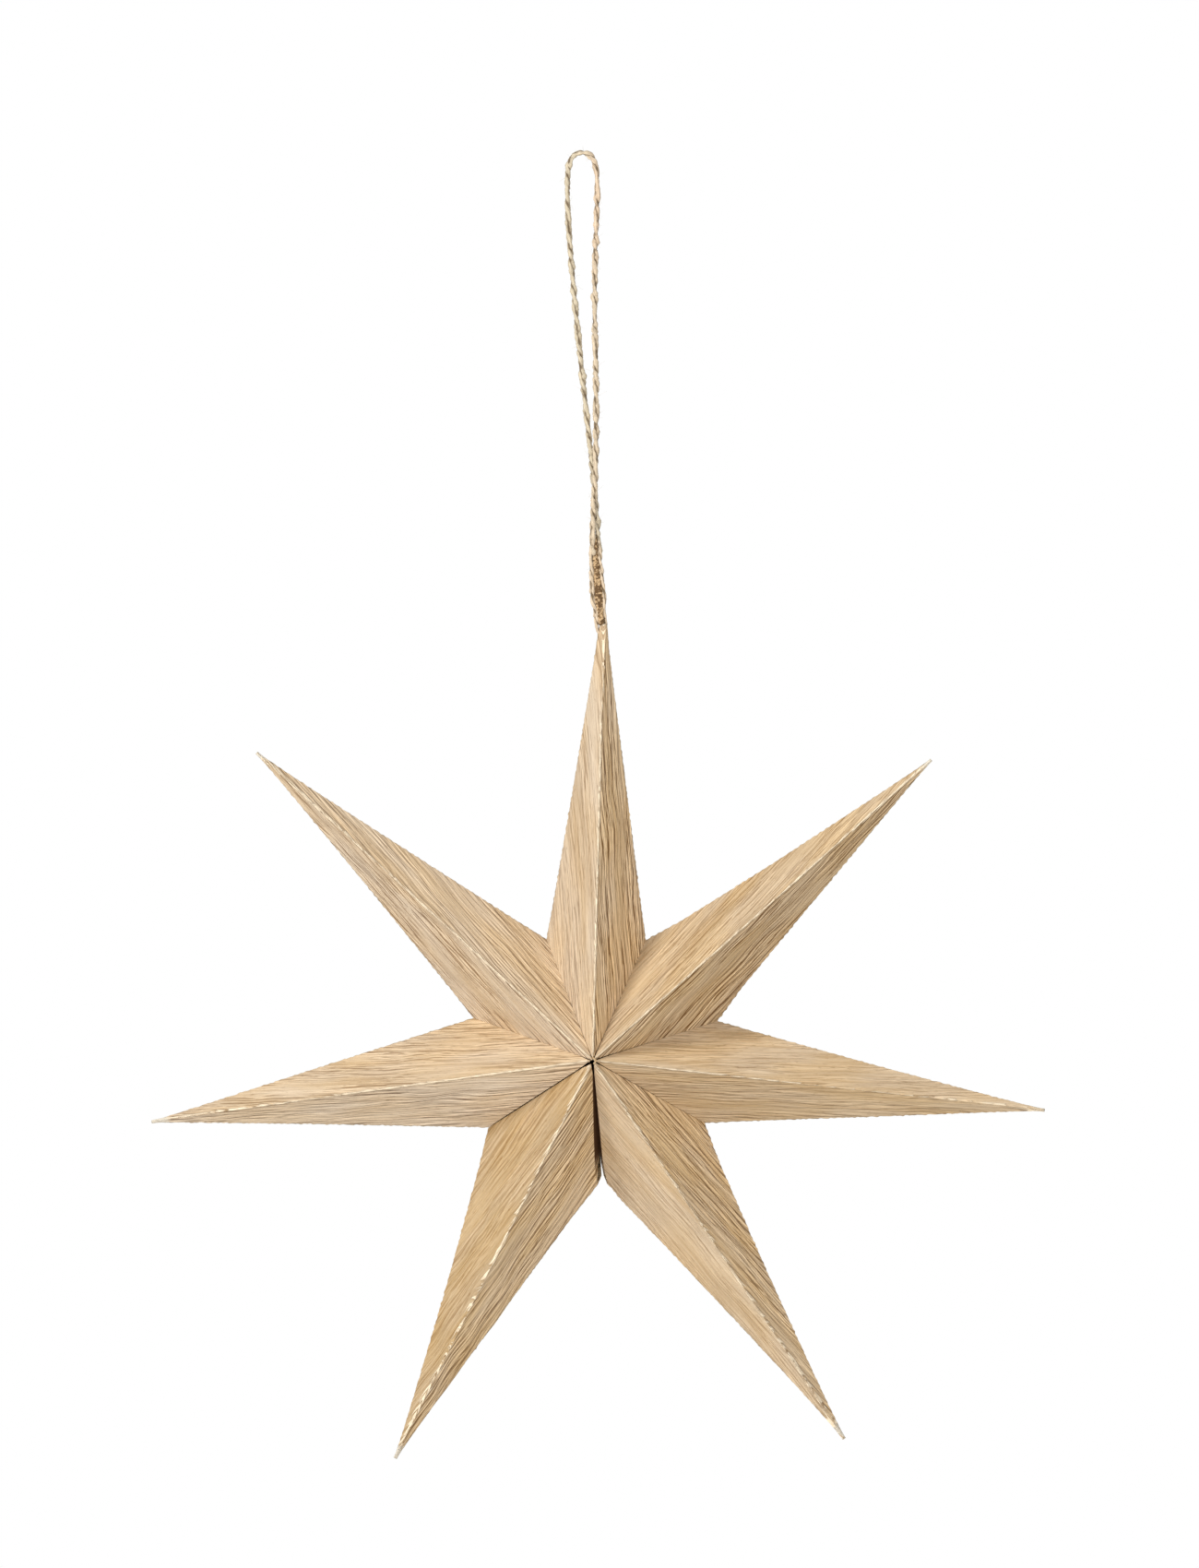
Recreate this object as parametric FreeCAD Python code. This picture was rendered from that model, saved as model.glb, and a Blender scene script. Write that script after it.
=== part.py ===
import FreeCAD, Part
import math
import os

# A fold-out star of seven points, folded from oak-veneered card and hung from a loop of twine.
#
# Each point is one sheet, folded on its front ridge, its two side edges and its back ridge, and
# glued to the next one by narrow tabs along the valleys. The ring of points stays open between
# the two end points: a slit runs down from the centre, and two magnets behind it hold them.
#
# The star hangs in the XZ plane with its front towards -Y, +Z up and +X to the right of the
# front. The origin is the inside of the loop's top, where a hook carries it. Millimetres, degrees.

Vector = FreeCAD.Vector

# The folded card
HALF_DEPTH = 28.0            # plane of the tips to the front or back centre
VALLEY_RADIUS = 28.7         # centre to the corner between two points
EDGE_LENGTH = 75.6           # side edge of a point, from that corner to the tip
CARD_THICKNESS = 0.4
FRONT_CENTRE_SHIFT = -0.5    # the front centre is pressed this far along X from the back one

# The openings, counter-clockwise from the slit. Each is a weight: together the points fill what
# the slit leaves of a full turn. The lean turns a tip away from the middle of its point.
SLIT_DIRECTION = -87.5
SLIT_OPENING = 2.95
POINTS = (
    ("point_lower_right", 55.1, 2.0),
    ("point_right", 47.45, 0.9),
    ("point_upper_right", 50.05, 0.0),
    ("point_top", 45.8, -0.4),
    ("point_upper_left", 49.7, 0.55),
    ("point_left", 51.2, 0.25),
    ("point_lower_left", 57.75, 1.0),
)
HUNG_POINT = "point_top"

# The two end points: which of a point's sides faces the slit, and the magnet behind it. Next to
# the corner, a stretch of their back edges stays apart.
SLIT_ENDS = {
    "point_lower_right": (0, "closure_magnet_right"),
    "point_lower_left": (1, "closure_magnet_left"),
}
SLIT_GAPE_LENGTH = 8.0

# Tabs along the valleys, and the flap that closes each sheet under its back ridge
TAB_WIDTH = 6.0
TAB_CENTRE_RELIEF = 6.0
TAB_CORNER_RELIEF = 2.0
FLAP_WIDTH = 5.0
FLAP_CENTRE_RELIEF = 8.0
FLAP_TIP_RELIEF = 22.0

# The closure magnets, on the inner side of the back tabs at the slit
MAGNET_DIAMETER = 5.0
MAGNET_THICKNESS = 1.0
MAGNET_FROM_CONTACT = 9.0    # along the back edge, from where the two edges still touch

# The blunt top tip and its hole
TIP_CUT = 4.4                # length missing from the ideal tip
HOLE_FROM_CUT = 2.1
HOLE_CLEARANCE = 0.45        # around the strand that goes through it

# The twine: the loop's route from the knot's top, up, over and down again to the knot
CORD_DIAMETER = 1.45
ARC_SHARE = 0.45             # share of the shorter run that each arc takes
KNOT_TOP_Z = -89.5
CORD_ROUTE = (
    (3.96, 0.30, KNOT_TOP_Z),
    (3.96, 0.30, -85.5),
    (3.22, 0.75, -77.5),
    (1.50, 0.50, -61.5),
    (-1.62, 0.06, -34.3),
    (-3.12, -0.05, -16.5),
    (-3.46, 0.00, -6.6),
    (-3.10, 0.00, -1.3),
    (-1.40, 0.00, 0.725),
    (1.25, 0.00, 0.725),
    (2.95, 0.00, -1.45),
    (3.42, 0.00, -6.5),
    (3.02, 0.10, -16.7),
    (2.62, 0.00, -32.0),
    (3.04, -0.15, -52.0),
    (2.62, -0.78, -71.0),
    (2.42, -0.55, -81.0),
    (2.52, -0.30, -86.3),
    (2.52, -0.30, KNOT_TOP_Z),
)

# The knot, as round sections from its top down: drop, X of the centre, radius
KNOT_SECTIONS = (
    (0.0, 3.24, 1.60),
    (3.0, 3.40, 1.62),
    (7.0, 3.66, 1.55),
    (10.4, 3.85, 1.66),
    (13.4, 4.25, 1.27),
)

# The strand from the knot through the hole in the tip and back
TIE_DIAMETER = 0.9
TIE_DROP = 3.9               # knot's bottom to the hole's axis
TIE_CLEARANCE = 0.2          # between a leg of the strand and the side of the tip
TIE_TOP_SPREAD = 0.80        # each leg's distance from the knot's middle where it enters it
TIE_ENTRY = 0.6              # how far the strand is first run into the knot, then trimmed off
HOLE_X = 4.35

BIG = 400.0                  # larger than the star, for tools that cut right through


def ray(angle):
    """Unit vector at an angle in the plane of the tips, counter-clockwise from +X."""
    return Vector(math.cos(math.radians(angle)), 0, math.sin(math.radians(angle)))


def tip_radius(opening):
    """Distance of a tip from the centre: the far end of an edge of fixed length."""
    half = math.radians(opening / 2)
    across = VALLEY_RADIUS * math.sin(half)
    return VALLEY_RADIUS * math.cos(half) + math.sqrt(EDGE_LENGTH ** 2 - across ** 2)


def polygon(points):
    return Part.Face(Part.makePolygon(list(points) + [points[0]]))


def closed_solid(faces):
    """Solid bounded by plane polygons."""
    solid = Part.Solid(Part.Shell([polygon(face) for face in faces]))
    if solid.Volume < 0:
        solid.reverse()
    return solid


def inward(points, inside):
    """Unit normal of the plane through three points, on the side of a point inside."""
    normal = (points[1] - points[0]).cross(points[2] - points[0])
    normal.normalize()
    return normal if normal.dot(inside - points[0]) > 0 else -normal


def strip(start, end, towards, width, start_relief, end_relief):
    """Strip of card along an edge, with ends cut at 45 degrees, on the side of a third point."""
    along = (end - start).normalize()
    side = towards - start
    side = (side - along * side.dot(along)).normalize()
    first = start + along * start_relief
    last = end - along * end_relief
    return [first, last, last + (side - along) * width, first + (side + along) * width]


class PointSheet:
    """One point: its corners, its tab strips and the folded card made from them."""

    def __init__(self, hub, first_angle, opening, lean, slit_side):
        self.front = hub + Vector(FRONT_CENTRE_SHIFT, -HALF_DEPTH, 0)
        self.back = hub + Vector(0, HALF_DEPTH, 0)
        self.axis = ray(first_angle + opening / 2 + lean)
        self.tip = hub + self.axis * tip_radius(opening)
        self.corners = [hub + ray(first_angle) * VALLEY_RADIUS,
                        hub + ray(first_angle + opening) * VALLEY_RADIUS]
        self.inside = (self.front + self.back + self.tip) * (1 / 3)
        self.slit_side = slit_side
        self.contact = None
        if slit_side is not None:
            gape = SLIT_GAPE_LENGTH / (self.back - self.corners[slit_side]).Length
            reach = ray(SLIT_DIRECTION) * VALLEY_RADIUS * (1 - gape)
            self.contact = hub + reach + Vector(0, HALF_DEPTH * gape, 0)

    def panels(self):
        """The visible faces of the point, front and back."""
        faces = [[self.front, self.tip, corner] for corner in self.corners]
        for side, corner in enumerate(self.corners):
            if side == self.slit_side:
                faces.append([self.back, self.tip, self.contact])
                faces.append([self.contact, self.tip, corner])
            else:
                faces.append([self.back, self.tip, corner])
        return faces

    def walls(self):
        """The faces towards the neighbours, or towards the slit."""
        faces = []
        for side, corner in enumerate(self.corners):
            if side == self.slit_side:
                faces.append([self.front, self.back, self.contact])
                faces.append([self.front, self.contact, corner])
            else:
                faces.append([self.front, self.back, corner])
        return faces

    def back_tab(self, side):
        end = self.contact if side == self.slit_side else self.corners[side]
        return strip(self.back, end, self.front, TAB_WIDTH, TAB_CENTRE_RELIEF, TAB_CORNER_RELIEF)

    def front_tab(self, side):
        towards = self.contact if side == self.slit_side else self.back
        return strip(self.front, self.corners[side], towards, TAB_WIDTH, TAB_CENTRE_RELIEF,
                     TAB_CORNER_RELIEF)

    def flap(self):
        return strip(self.back, self.tip, self.corners[0], FLAP_WIDTH, FLAP_CENTRE_RELIEF,
                     FLAP_TIP_RELIEF)

    def layer(self, outline, thickness, envelope):
        """A flat piece of the card, from its outer face inwards."""
        return polygon(outline).extrude(inward(outline, self.inside) * thickness).common(envelope)

    def card(self):
        envelope = closed_solid(self.panels() + self.walls())
        layers = [self.layer(panel, CARD_THICKNESS, envelope) for panel in self.panels()]
        for side in (0, 1):
            layers.append(self.layer(self.front_tab(side), CARD_THICKNESS, envelope))
            layers.append(self.layer(self.back_tab(side), CARD_THICKNESS, envelope))
        layers.append(self.layer(self.flap(), 2 * CARD_THICKNESS, envelope))
        return layers[0].multiFuse(layers[1:]).removeSplitter()

    def magnet(self):
        """Disc on the inner side of the back tab at the slit."""
        tab = self.back_tab(self.slit_side)
        along = (self.contact - self.back).normalize()
        side = (tab[3] - tab[0] - along * TAB_WIDTH).normalize()
        normal = inward(tab, self.inside)
        centre = self.contact - along * MAGNET_FROM_CONTACT + side * (TAB_WIDTH / 2)
        return Part.makeCylinder(MAGNET_DIAMETER / 2, MAGNET_THICKNESS,
                                 centre + normal * CARD_THICKNESS, normal)


def hole_radius():
    return TIE_DIAMETER / 2 + HOLE_CLEARANCE


def blunt_and_drill(card, sheet):
    """Cut the hung point's tip off square and drill it crosswise for the twine."""
    cut = sheet.tip - sheet.axis * TIP_CUT
    beyond = Part.makeCylinder(BIG, BIG, cut, sheet.axis)
    hole_centre = cut - sheet.axis * HOLE_FROM_CUT
    across = sheet.axis.cross(Vector(0, 1, 0))
    drill = Part.makeCylinder(hole_radius(), BIG, hole_centre - across * (BIG / 2), across)
    return card.cut(beyond).cut(drill)


def rounded_path(points):
    """Straight runs joined by tangent arcs. Returns the wire, its length and the arcs' radii."""
    edges = []
    radii = []
    length = 0.0
    start = points[0]
    for before, corner, after in zip(points, points[1:], points[2:]):
        into = corner - before
        out = after - corner
        trim = ARC_SHARE * min(into.Length, out.Length)
        turn = into.getAngle(out)
        radius = trim / math.tan(turn / 2)
        into.normalize()
        out.normalize()
        arc_start = corner - into * trim
        arc_end = corner + out * trim
        towards_centre = (out - into).normalize()
        middle = corner + towards_centre * (radius / math.cos(turn / 2) - radius)
        edges.append(Part.LineSegment(start, arc_start).toShape())
        edges.append(Part.Arc(arc_start, middle, arc_end).toShape())
        length += (arc_start - start).Length + radius * turn
        radii.append(radius)
        start = arc_end
    edges.append(Part.LineSegment(start, points[-1]).toShape())
    length += (points[-1] - start).Length
    return Part.Wire(edges), length, radii


def tube(name, points, diameter):
    """Round cord along a rounded path, with its length and arc radii printed."""
    path, length, radii = rounded_path(points)
    section = Part.Wire(Part.makeCircle(diameter / 2, points[0], points[1] - points[0]))
    sweep = Part.BRepOffsetAPI.MakePipeShell(path)
    sweep.setFrenetMode(True)
    sweep.add(section)
    sweep.build()
    sweep.makeSolid()
    solid = sweep.shape()
    filled = solid.Volume / (math.pi * diameter ** 2 / 4 * length)
    print(f"{name}: length {length:.1f}, volume over section times length {filled:.4f}")
    print(f"{name}: arc radii " + ", ".join(f"{radius:.1f}" for radius in radii))
    return solid


def knot_solid():
    """The knot's outer shape, lofted through round sections from its top to its bottom."""
    rings = []
    for drop, x, radius in KNOT_SECTIONS:
        rings.append(Part.Wire(Part.makeCircle(radius, Vector(x, 0, KNOT_TOP_Z - drop))))
    return Part.makeLoft(rings, True, True)


def tie_solid(hole, half_width, knot):
    """The strand through the tip: down beside it, across in the hole and up the other side."""
    spread = half_width + TIE_DIAMETER / 2 + TIE_CLEARANCE
    knot_drop, knot_x, _ = KNOT_SECTIONS[-1]
    top = KNOT_TOP_Z - knot_drop + TIE_ENTRY
    points = [
        Vector(knot_x - TIE_TOP_SPREAD, 0, top),
        Vector(hole.x - spread, 0, hole.z),
        Vector(hole.x + spread, 0, hole.z),
        Vector(knot_x + TIE_TOP_SPREAD, 0, top),
    ]
    return tube("tip_tie", points, TIE_DIAMETER).cut(knot)


def opened_points():
    """Name, first angle, opening and lean of each point, filling what the slit leaves."""
    total = sum(weight for _, weight, _ in POINTS)
    angle = SLIT_DIRECTION + SLIT_OPENING / 2
    for name, weight, lean in POINTS:
        opening = weight * (360 - SLIT_OPENING) / total
        yield name, angle, opening, lean
        angle += opening


def hung_geometry():
    """Axis of the hung point, its tip radius and the half width of its tip at the hole."""
    for name, first_angle, opening, lean in opened_points():
        if name == HUNG_POINT:
            axis = ray(first_angle + opening / 2 + lean)
            half = math.radians(opening / 2)
            slope = math.tan(math.asin(VALLEY_RADIUS * math.sin(half) / EDGE_LENGTH))
            return axis, tip_radius(opening), (TIP_CUT + HOLE_FROM_CUT) * slope


def build():
    """All the pieces by name, with the star hung so that its hole meets the twine."""
    axis, radius, half_width = hung_geometry()
    hole = Vector(HOLE_X, 0, KNOT_TOP_Z - KNOT_SECTIONS[-1][0] - TIE_DROP)
    hub = hole - axis * (radius - TIP_CUT - HOLE_FROM_CUT)
    print(f"centre of the star: X {hub.x:.2f}, Z {hub.z:.2f}")

    pieces = {}
    for name, first_angle, opening, lean in opened_points():
        slit_side, magnet_name = SLIT_ENDS.get(name, (None, None))
        sheet = PointSheet(hub, first_angle, opening, lean, slit_side)
        pieces[name] = sheet.card()
        if name == HUNG_POINT:
            pieces[name] = blunt_and_drill(pieces[name], sheet)
        if magnet_name:
            pieces[magnet_name] = sheet.magnet()

    knot = knot_solid()
    pieces["hanging_cord"] = tube("hanging_cord", [Vector(*point) for point in CORD_ROUTE],
                                  CORD_DIAMETER)
    pieces["cord_knot"] = knot
    pieces["tip_tie"] = tie_solid(hole, half_width, knot)
    return pieces


os.makedirs("parts", exist_ok=True)
for node, solid in build().items():
    solid.exportStep(f"parts/{node}.step")
    print(f"{node}: {len(solid.Solids)} solid, valid {solid.isValid()}, volume {solid.Volume:.1f}")
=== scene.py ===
import math

import bpy
import numpy as np
from bpy.props import FloatProperty, FloatVectorProperty, IntProperty, PointerProperty
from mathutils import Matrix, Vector


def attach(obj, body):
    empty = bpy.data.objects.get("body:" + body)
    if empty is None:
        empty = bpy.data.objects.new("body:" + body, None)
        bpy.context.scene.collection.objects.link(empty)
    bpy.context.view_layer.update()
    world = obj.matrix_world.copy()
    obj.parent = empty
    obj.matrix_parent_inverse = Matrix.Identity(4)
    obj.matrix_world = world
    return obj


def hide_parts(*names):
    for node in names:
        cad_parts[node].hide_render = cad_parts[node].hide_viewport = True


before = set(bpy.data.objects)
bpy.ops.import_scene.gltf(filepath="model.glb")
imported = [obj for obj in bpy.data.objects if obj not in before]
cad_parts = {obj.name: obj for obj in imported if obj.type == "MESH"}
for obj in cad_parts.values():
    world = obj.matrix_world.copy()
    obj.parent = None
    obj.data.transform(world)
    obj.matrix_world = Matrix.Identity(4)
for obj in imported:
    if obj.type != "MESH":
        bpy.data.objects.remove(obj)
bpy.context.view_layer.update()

bl_info = {
    "name": "Folded Oak Star",
    "version": (1, 0, 0),
    "blender": (4, 5, 0),
    "location": "3D View > Sidebar > Star",
    "description": "Dresses a fold-out star of oak-veneered card and the twine that it hangs from",
    "category": "Add Mesh",
}

MM = 0.001

# The seven points, counter-clockwise from the slit, with lengths in millimetres. Pairs hold the
# clockwise side first. grain: its angle to the front ridge in degrees. worn: length of bare card
# at the tip. warm: tone of the two front faces beside the mean. light: painted light and shade of
# the two front faces, a brightness beside the mean. marks: strength of the painted light and shade
# on the flanks of their grain marks. side: the one that faces the slit. back: how far each front
# valley edge stands back from its neighbour, near the centre, at three fifths of its length and at
# the corner. short: how far the inner corner falls short of the centre. lean: how far the point
# leans counter-clockwise at its tip and half way. slim: how much slimmer it is on each side than
# its card was cut. longer: how much longer it is at the tip.
POINTS = {
    "point_lower_right": dict(
        grain=13.0, worn=2.0, warm=(0.17, 0.60), light=(1.02, 1.13), marks=(0.85, 1.30), side=0,
        back=((0.04, 0.18, 0.15), (0.08, 0.05, 0.00)), short=0.3,
        lean=(-0.60, -0.40), slim=0.50, longer=2.3),
    "point_right": dict(
        grain=8.0, worn=1.0, warm=(0.42, 0.35), light=(1.02, 1.10), marks=(1.00, 0.85), side=None,
        back=((0.06, 0.00, 0.00), (0.10, 0.00, 0.00)), short=0.15,
        lean=(-0.70, -0.50), slim=0.10, longer=0.5),
    "point_upper_right": dict(
        grain=9.0, worn=2.6, warm=(0.51, 0.44), light=(0.945, 0.97), marks=(1.70, 1.00), side=None,
        back=((0.12, 0.00, 0.00), (0.06, 0.00, 0.00)), short=0.15,
        lean=(-0.10, -0.20), slim=0.55, longer=0.0),
    "point_top": dict(
        grain=11.0, worn=0.4, warm=(0.43, -0.10), light=(1.165, 0.98), marks=(1.70, 1.00),
        side=None, back=((0.08, 0.00, 0.00), (0.04, 0.00, 0.00)), short=0.2,
        lean=(-0.15, -0.18), slim=0.12, longer=0.0),
    "point_upper_left": dict(
        grain=-9.5, worn=1.4, warm=(0.09, -0.25), light=(1.09, 1.02), marks=(0.90, 1.45),
        side=None, back=((0.04, 0.00, 0.00), (0.00, 0.00, 0.00)), short=0.1,
        lean=(0.45, 0.18), slim=0.12, longer=1.4),
    "point_left": dict(
        grain=-9.0, worn=4.0, warm=(0.11, -0.47), light=(1.04, 1.14), marks=(1.20, 1.30),
        side=None, back=((0.00, 0.00, 0.00), (0.06, 0.07, 0.05)), short=0.5,
        lean=(0.62, 0.20), slim=0.00, longer=0.0),
    "point_lower_left": dict(
        grain=-15.0, worn=2.4, warm=(0.92, 0.47), light=(0.80, 1.04), marks=(0.80, 1.35), side=1,
        back=((0.12, 0.14, 0.05), (0.04, 0.40, 0.42)), short=0.8,
        lean=(0.55, 0.50), slim=0.35, longer=1.0),
}
SLIT_GAPE = 3.0 * MM             # back edges at the slit stay apart for this length
SLIT_STEP = 0.3 * MM             # how far to the right of the slit's middle they meet
SLIT_FOLD = 0.05 * MM            # rounding of the fold that ends at their meeting place
# The slit's shade is painted into the veneer's colour
SLIT_SHADE_STRETCH = (4.6, 5.2)        # where the slit's shade sets in, millimetres off its corner
BLUNT = 0.28 * MM                # missing from an ideal tip that isn't cut off
IN_PLANE = 1e-6                  # a corner this near the plane of the tips lies in it
NEAR_END = 0.05 * MM             # and one this near the farthest is at the tip
ON_AXIS = 1e-7                   # and one this near the axis counts for both sides
TIP_HALF = 0.48 * MM             # half width of a tip, with all its layers pressed together
TIP_STRETCH = 12 * MM            # over what a point's extra length is spread
ROUNDED_CORNER = ("point_lower_right", 0, 1.15 * MM, 4.2 * MM)  # side, how far in, over what
TIP_BULGE = ("point_top", 0.12 * MM, 1.8 * MM, 2.4 * MM)        # how far out, from the cut, over
RIDGE_LEAN = ("point_top", 1.0 * MM, 18 * MM)                   # how far right at the tip, over

# The card's tabs and flap, as the construction has them
TAB_WIDTH = 6.0 * MM
TAB_CENTRE_RELIEF = 6.0 * MM
TAB_CORNER_RELIEF = 2.0 * MM
FLAP_WIDTH = 5.0 * MM
FLAP_LEAST = 0.7 * MM
FLAP_INSET = 0.5 * MM
FLAP_CENTRE_RELIEF = 8.0 * MM
FLAP_TIP_RELIEF = 22.0 * MM
LAYER_GAP = 0.03 * MM            # air between two layers of card that lie on each other
INNER_INSET = 1.1 * MM           # how far short of the valley the inner grid's panels end
TIP_THINNING = 4.5 * MM          # the card's thickness grows from the tip at this rate
FOLD_MOST = 0.4                  # share of the way to the next corner that a fold may take
TAB_LEAST = 1.15                 # least width of a tab, in valley roundings

# Wavering of what was folded by hand: its height and its wavelength
FOLD_WAVER = (0.25, 9 * MM)      # the height is a share of the fold's width
RIDGE_STEPS = (0.035 * MM, 1.9 * MM)
EDGE_STEPS = (0.05 * MM, 2.6 * MM)
LONG_SWELL = (0.7, 34 * MM)      # heights of the swells are shares of the card's warp
SHORT_SWELL = (0.4, 17 * MM)
PANEL_WIDTH = 14 * MM            # of a panel at its valley, about
VALLEY_FADE = 5 * MM             # how far from its valley a panel that stands back is straight
CORNER_FADE = 2 * MM             # how far from the centre a corner that falls short is whole

LIT_SIDE = np.array([-0.88, 0.47])   # where most light comes from, across and up

# Grid of one point: columns across a panel, a fold, a flap; rows from tip to valley and on the tab
ROW_SPREAD = 0.92                # below one, rows lie closer together towards the valley
PANEL_COLUMNS = 9
FOLD_STEPS = 7
FLAP_COLUMNS = 3
FAN_ROWS = 209
VALLEY_STEPS = 5
TAB_ROWS = 3

# The twine's route, from the knot up the left leg, over and down the right leg, in millimetres
CORD_ROUTE = (
    (3.74, 0.10, -89.5), (3.40, 0.20, -85.5), (3.06, 0.65, -77.5), (1.42, 0.45, -62.5),
    (-1.62, 0.06, -34.3), (-3.12, -0.05, -16.5), (-3.46, 0.00, -6.6), (-3.10, 0.00, -1.3),
    (-1.40, 0.00, 0.725), (1.25, 0.00, 0.725), (2.95, 0.00, -1.45), (3.42, 0.00, -6.5),
    (3.02, 0.10, -16.7), (2.62, 0.00, -32.0), (3.10, -0.15, -52.0), (2.98, -0.75, -71.0),
    (2.30, -0.55, -81.0), (2.20, -0.40, -86.3), (2.25, -0.40, -89.5),
)
CORD_DIAMETER = 1.45 * MM
LEG_LENGTH = 92.0                # millimetres of cord from the knot to the top of the loop
TWINE_STEP = 0.28 * MM           # distance between two rings of a ply
PLY_SIDES = 14
TAN_SHARE = 0.7                  # of the tan fibre's colour in the legs on the knot and the tip

# The knot's middle line with its half width, and the legs of twine that lie on it, millimetres
KNOT_CORE = ((2.74, 0.0, -85.4, 0.50), (2.78, 0.0, -87.6, 0.78), (2.92, 0.0, -89.5, 0.95),
             (3.02, 0.0, -92.0, 1.10), (3.27, 0.0, -95.0, 1.18), (3.56, 0.0, -98.0, 1.28),
             (3.70, 0.0, -99.5, 1.30), (3.84, 0.0, -101.0, 1.08), (3.98, 0.0, -102.4, 0.90),
             (4.10, 0.0, -103.6, 0.82), (4.22, 0.0, -104.6, 0.66), (4.26, 0.0, -105.0, 0.30))
KNOT_LEGS = (
    ((2.20, -0.45, -86.0), (2.02, -0.75, -89.0), (2.02, -0.90, -93.0), (2.10, -0.90, -97.0),
     (2.38, -0.80, -99.8), (2.92, -0.55, -101.4), (3.06, -0.35, -103.0)),
    ((3.52, -0.10, -86.0), (3.86, -0.40, -89.5), (4.28, -0.55, -93.5), (4.70, -0.60, -97.0),
     (4.94, -0.55, -99.0), (4.78, -0.40, -101.5), (4.88, -0.20, -103.4)),
)
TIE_LEGS = (
    ((3.06, -0.35, -102.4), (3.10, -0.35, -103.8), (3.16, -0.28, -105.2), (3.28, -0.10, -106.3),
     (3.90, 0.00, -106.8)),
    ((4.88, -0.10, -102.8), (5.12, 0.25, -103.9), (5.28, 0.50, -105.2), (5.20, 0.35, -106.3),
     (4.70, 0.10, -106.9)),
)
KNOT_LEG_WIDTHS = (1.15 * MM, 1.0 * MM)
TIE_LEG_WIDTHS = (0.95 * MM, 0.75 * MM)
KNOT_STEP = 0.12 * MM
KNOT_SIDES = 28
HAIR_STEPS = 6
HAIR_SIDES = 3
HAIR_RADIUS = 0.026 * MM
HAIR_ROOT = 0.5 * MM             # how far from the middle of the twine a hair starts
KNOT_HAIRS = 240
KNOT_HAIR_LENGTH = 0.9 * MM

# Torn fibres of a ridge: spacing along it, greatest half width, both in millimetres, and phase
TORN_SETS = ((8.5, 0.40, 0.0), (8.5, 0.40, 0.5), (4.6, 0.30, 0.2), (4.6, 0.30, 0.7),
             (2.6, 0.26, 0.4))
TORN_SHADOW = 0.30               # how far a torn fibre's shadow lies beside it, millimetres
STROKE = (11, 0.95)              # length and width of the grain's strokes, millimetres
STROKE_PLACE = (4.3, 0.37, 3.1)

# The photograph's frame: its middle in the plane of the tips, its height there, and the distance
VIEW_X = 3.81 * MM
VIEW_Z = -140.4 * MM
VIEW_HEIGHT = 350.5 * MM
VIEW_DISTANCE = 2.5
SENSOR = 36.0

# The lamps: place and size, all turned to the star's middle
LAMPS = {"key": ((-1.25, -1.45, 0.80), 0.5), "fill": ((0.0, -2.4, -0.1), 1.4),
         "back": ((0.0, 2.4, -0.1), 1.4)}
LAMP_AIM = (0.003, 0.0, -0.2)
FLOOR_RADIUS = 1.1

UNDER, OVER = 6, 7               # the two colours of a Mix node
SMOOTH = {"interpolation_type": "SMOOTHSTEP"}


def linear(code):
    """The linear colour, with alpha, of an sRGB hex code."""
    channels = []
    for start in (0, 2, 4):
        value = int(code[start:start + 2], 16) / 255
        channels.append(value / 12.92 if value <= 0.04045 else ((value + 0.055) / 1.055) ** 2.4)
    return (*channels, 1.0)


def colour(name, description, code):
    return FloatVectorProperty(name=name, description=description, subtype="COLOR", size=4,
                               min=0.0, max=1.0, default=linear(code))


def measure(name, description, default, unit="LENGTH"):
    return FloatProperty(name=name, description=description, default=default, unit=unit)


class StarCardSettings(bpy.types.PropertyGroup):
    thickness: measure("Card thickness", "Thickness of the veneered card", 0.4 * MM)
    ridge: measure("Ridge rounding", "Where a ridge begins to round, from it", 0.30 * MM)
    edge: measure("Edge rounding", "Where a side edge begins to round", 0.34 * MM)
    valley: measure("Valley rounding", "Where a panel turns into its tab", 0.10 * MM)
    warp: measure("Panel warp", "How far a panel swells or dips", 0.22 * MM)
    light: colour("Oak, light", "Early wood between the grain lines", "D6C0A2")
    dark: colour("Oak, dark", "Late wood in the grain lines", "AD916C")
    # Open pores, and also the colour of painted shade: shaded flanks of the marks, shadows beside
    # torn fibres
    pore_and_shade: colour("Oak, pores", "Open pores of the oak", "7A5C3C")
    broken: colour("Broken fibres", "Oak fibres torn open along a fold", "F1DEC0")
    # Painted shade along the side edges
    rim: colour("Edge shade", "Handled, greyed side edges", "8C8265")
    core: colour("Bare card", "Core of the card where the veneer is worn off", "D8CFBE")
    inside: colour("Inner side", "Inner side of the card", "B7996F")
    # Painted shade deep in the slit
    dusk: colour("Slit", "Shade deep in the slit", "5A3A1E")


class StarTwineSettings(bpy.types.PropertyGroup):
    pitch: measure("Lay length", "Length of cord for one turn of its plies", 9.6 * MM)
    ply: FloatProperty(name="Ply thickness", description="Ply diameter as a share of the cord's",
                       default=0.63, subtype="FACTOR")
    hairs: IntProperty(name="Hairs", description="Loose fibres that stand out of the twine",
                       default=420)
    hair_length: measure("Hair length", "Longest loose fibre", 1.7 * MM)
    pale: colour("Left leg", "Greyish fibres of the left leg", "D0C2A6")
    tan: colour("Right leg", "Pinkish tan fibres of the right leg", "E0C6A8")
    # Painted shade between the plies, also the colour of dark specks
    groove_shade: colour("Grooves", "Shade between the plies", "604C30")
    core: colour("Knot, light", "Rubbed fibres of the knot", "C2A47C")
    # Painted shade in the gaps between the rubbed fibres
    gap_shade: colour("Knot, dark", "Shade between the rubbed fibres", "553A1E")


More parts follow.
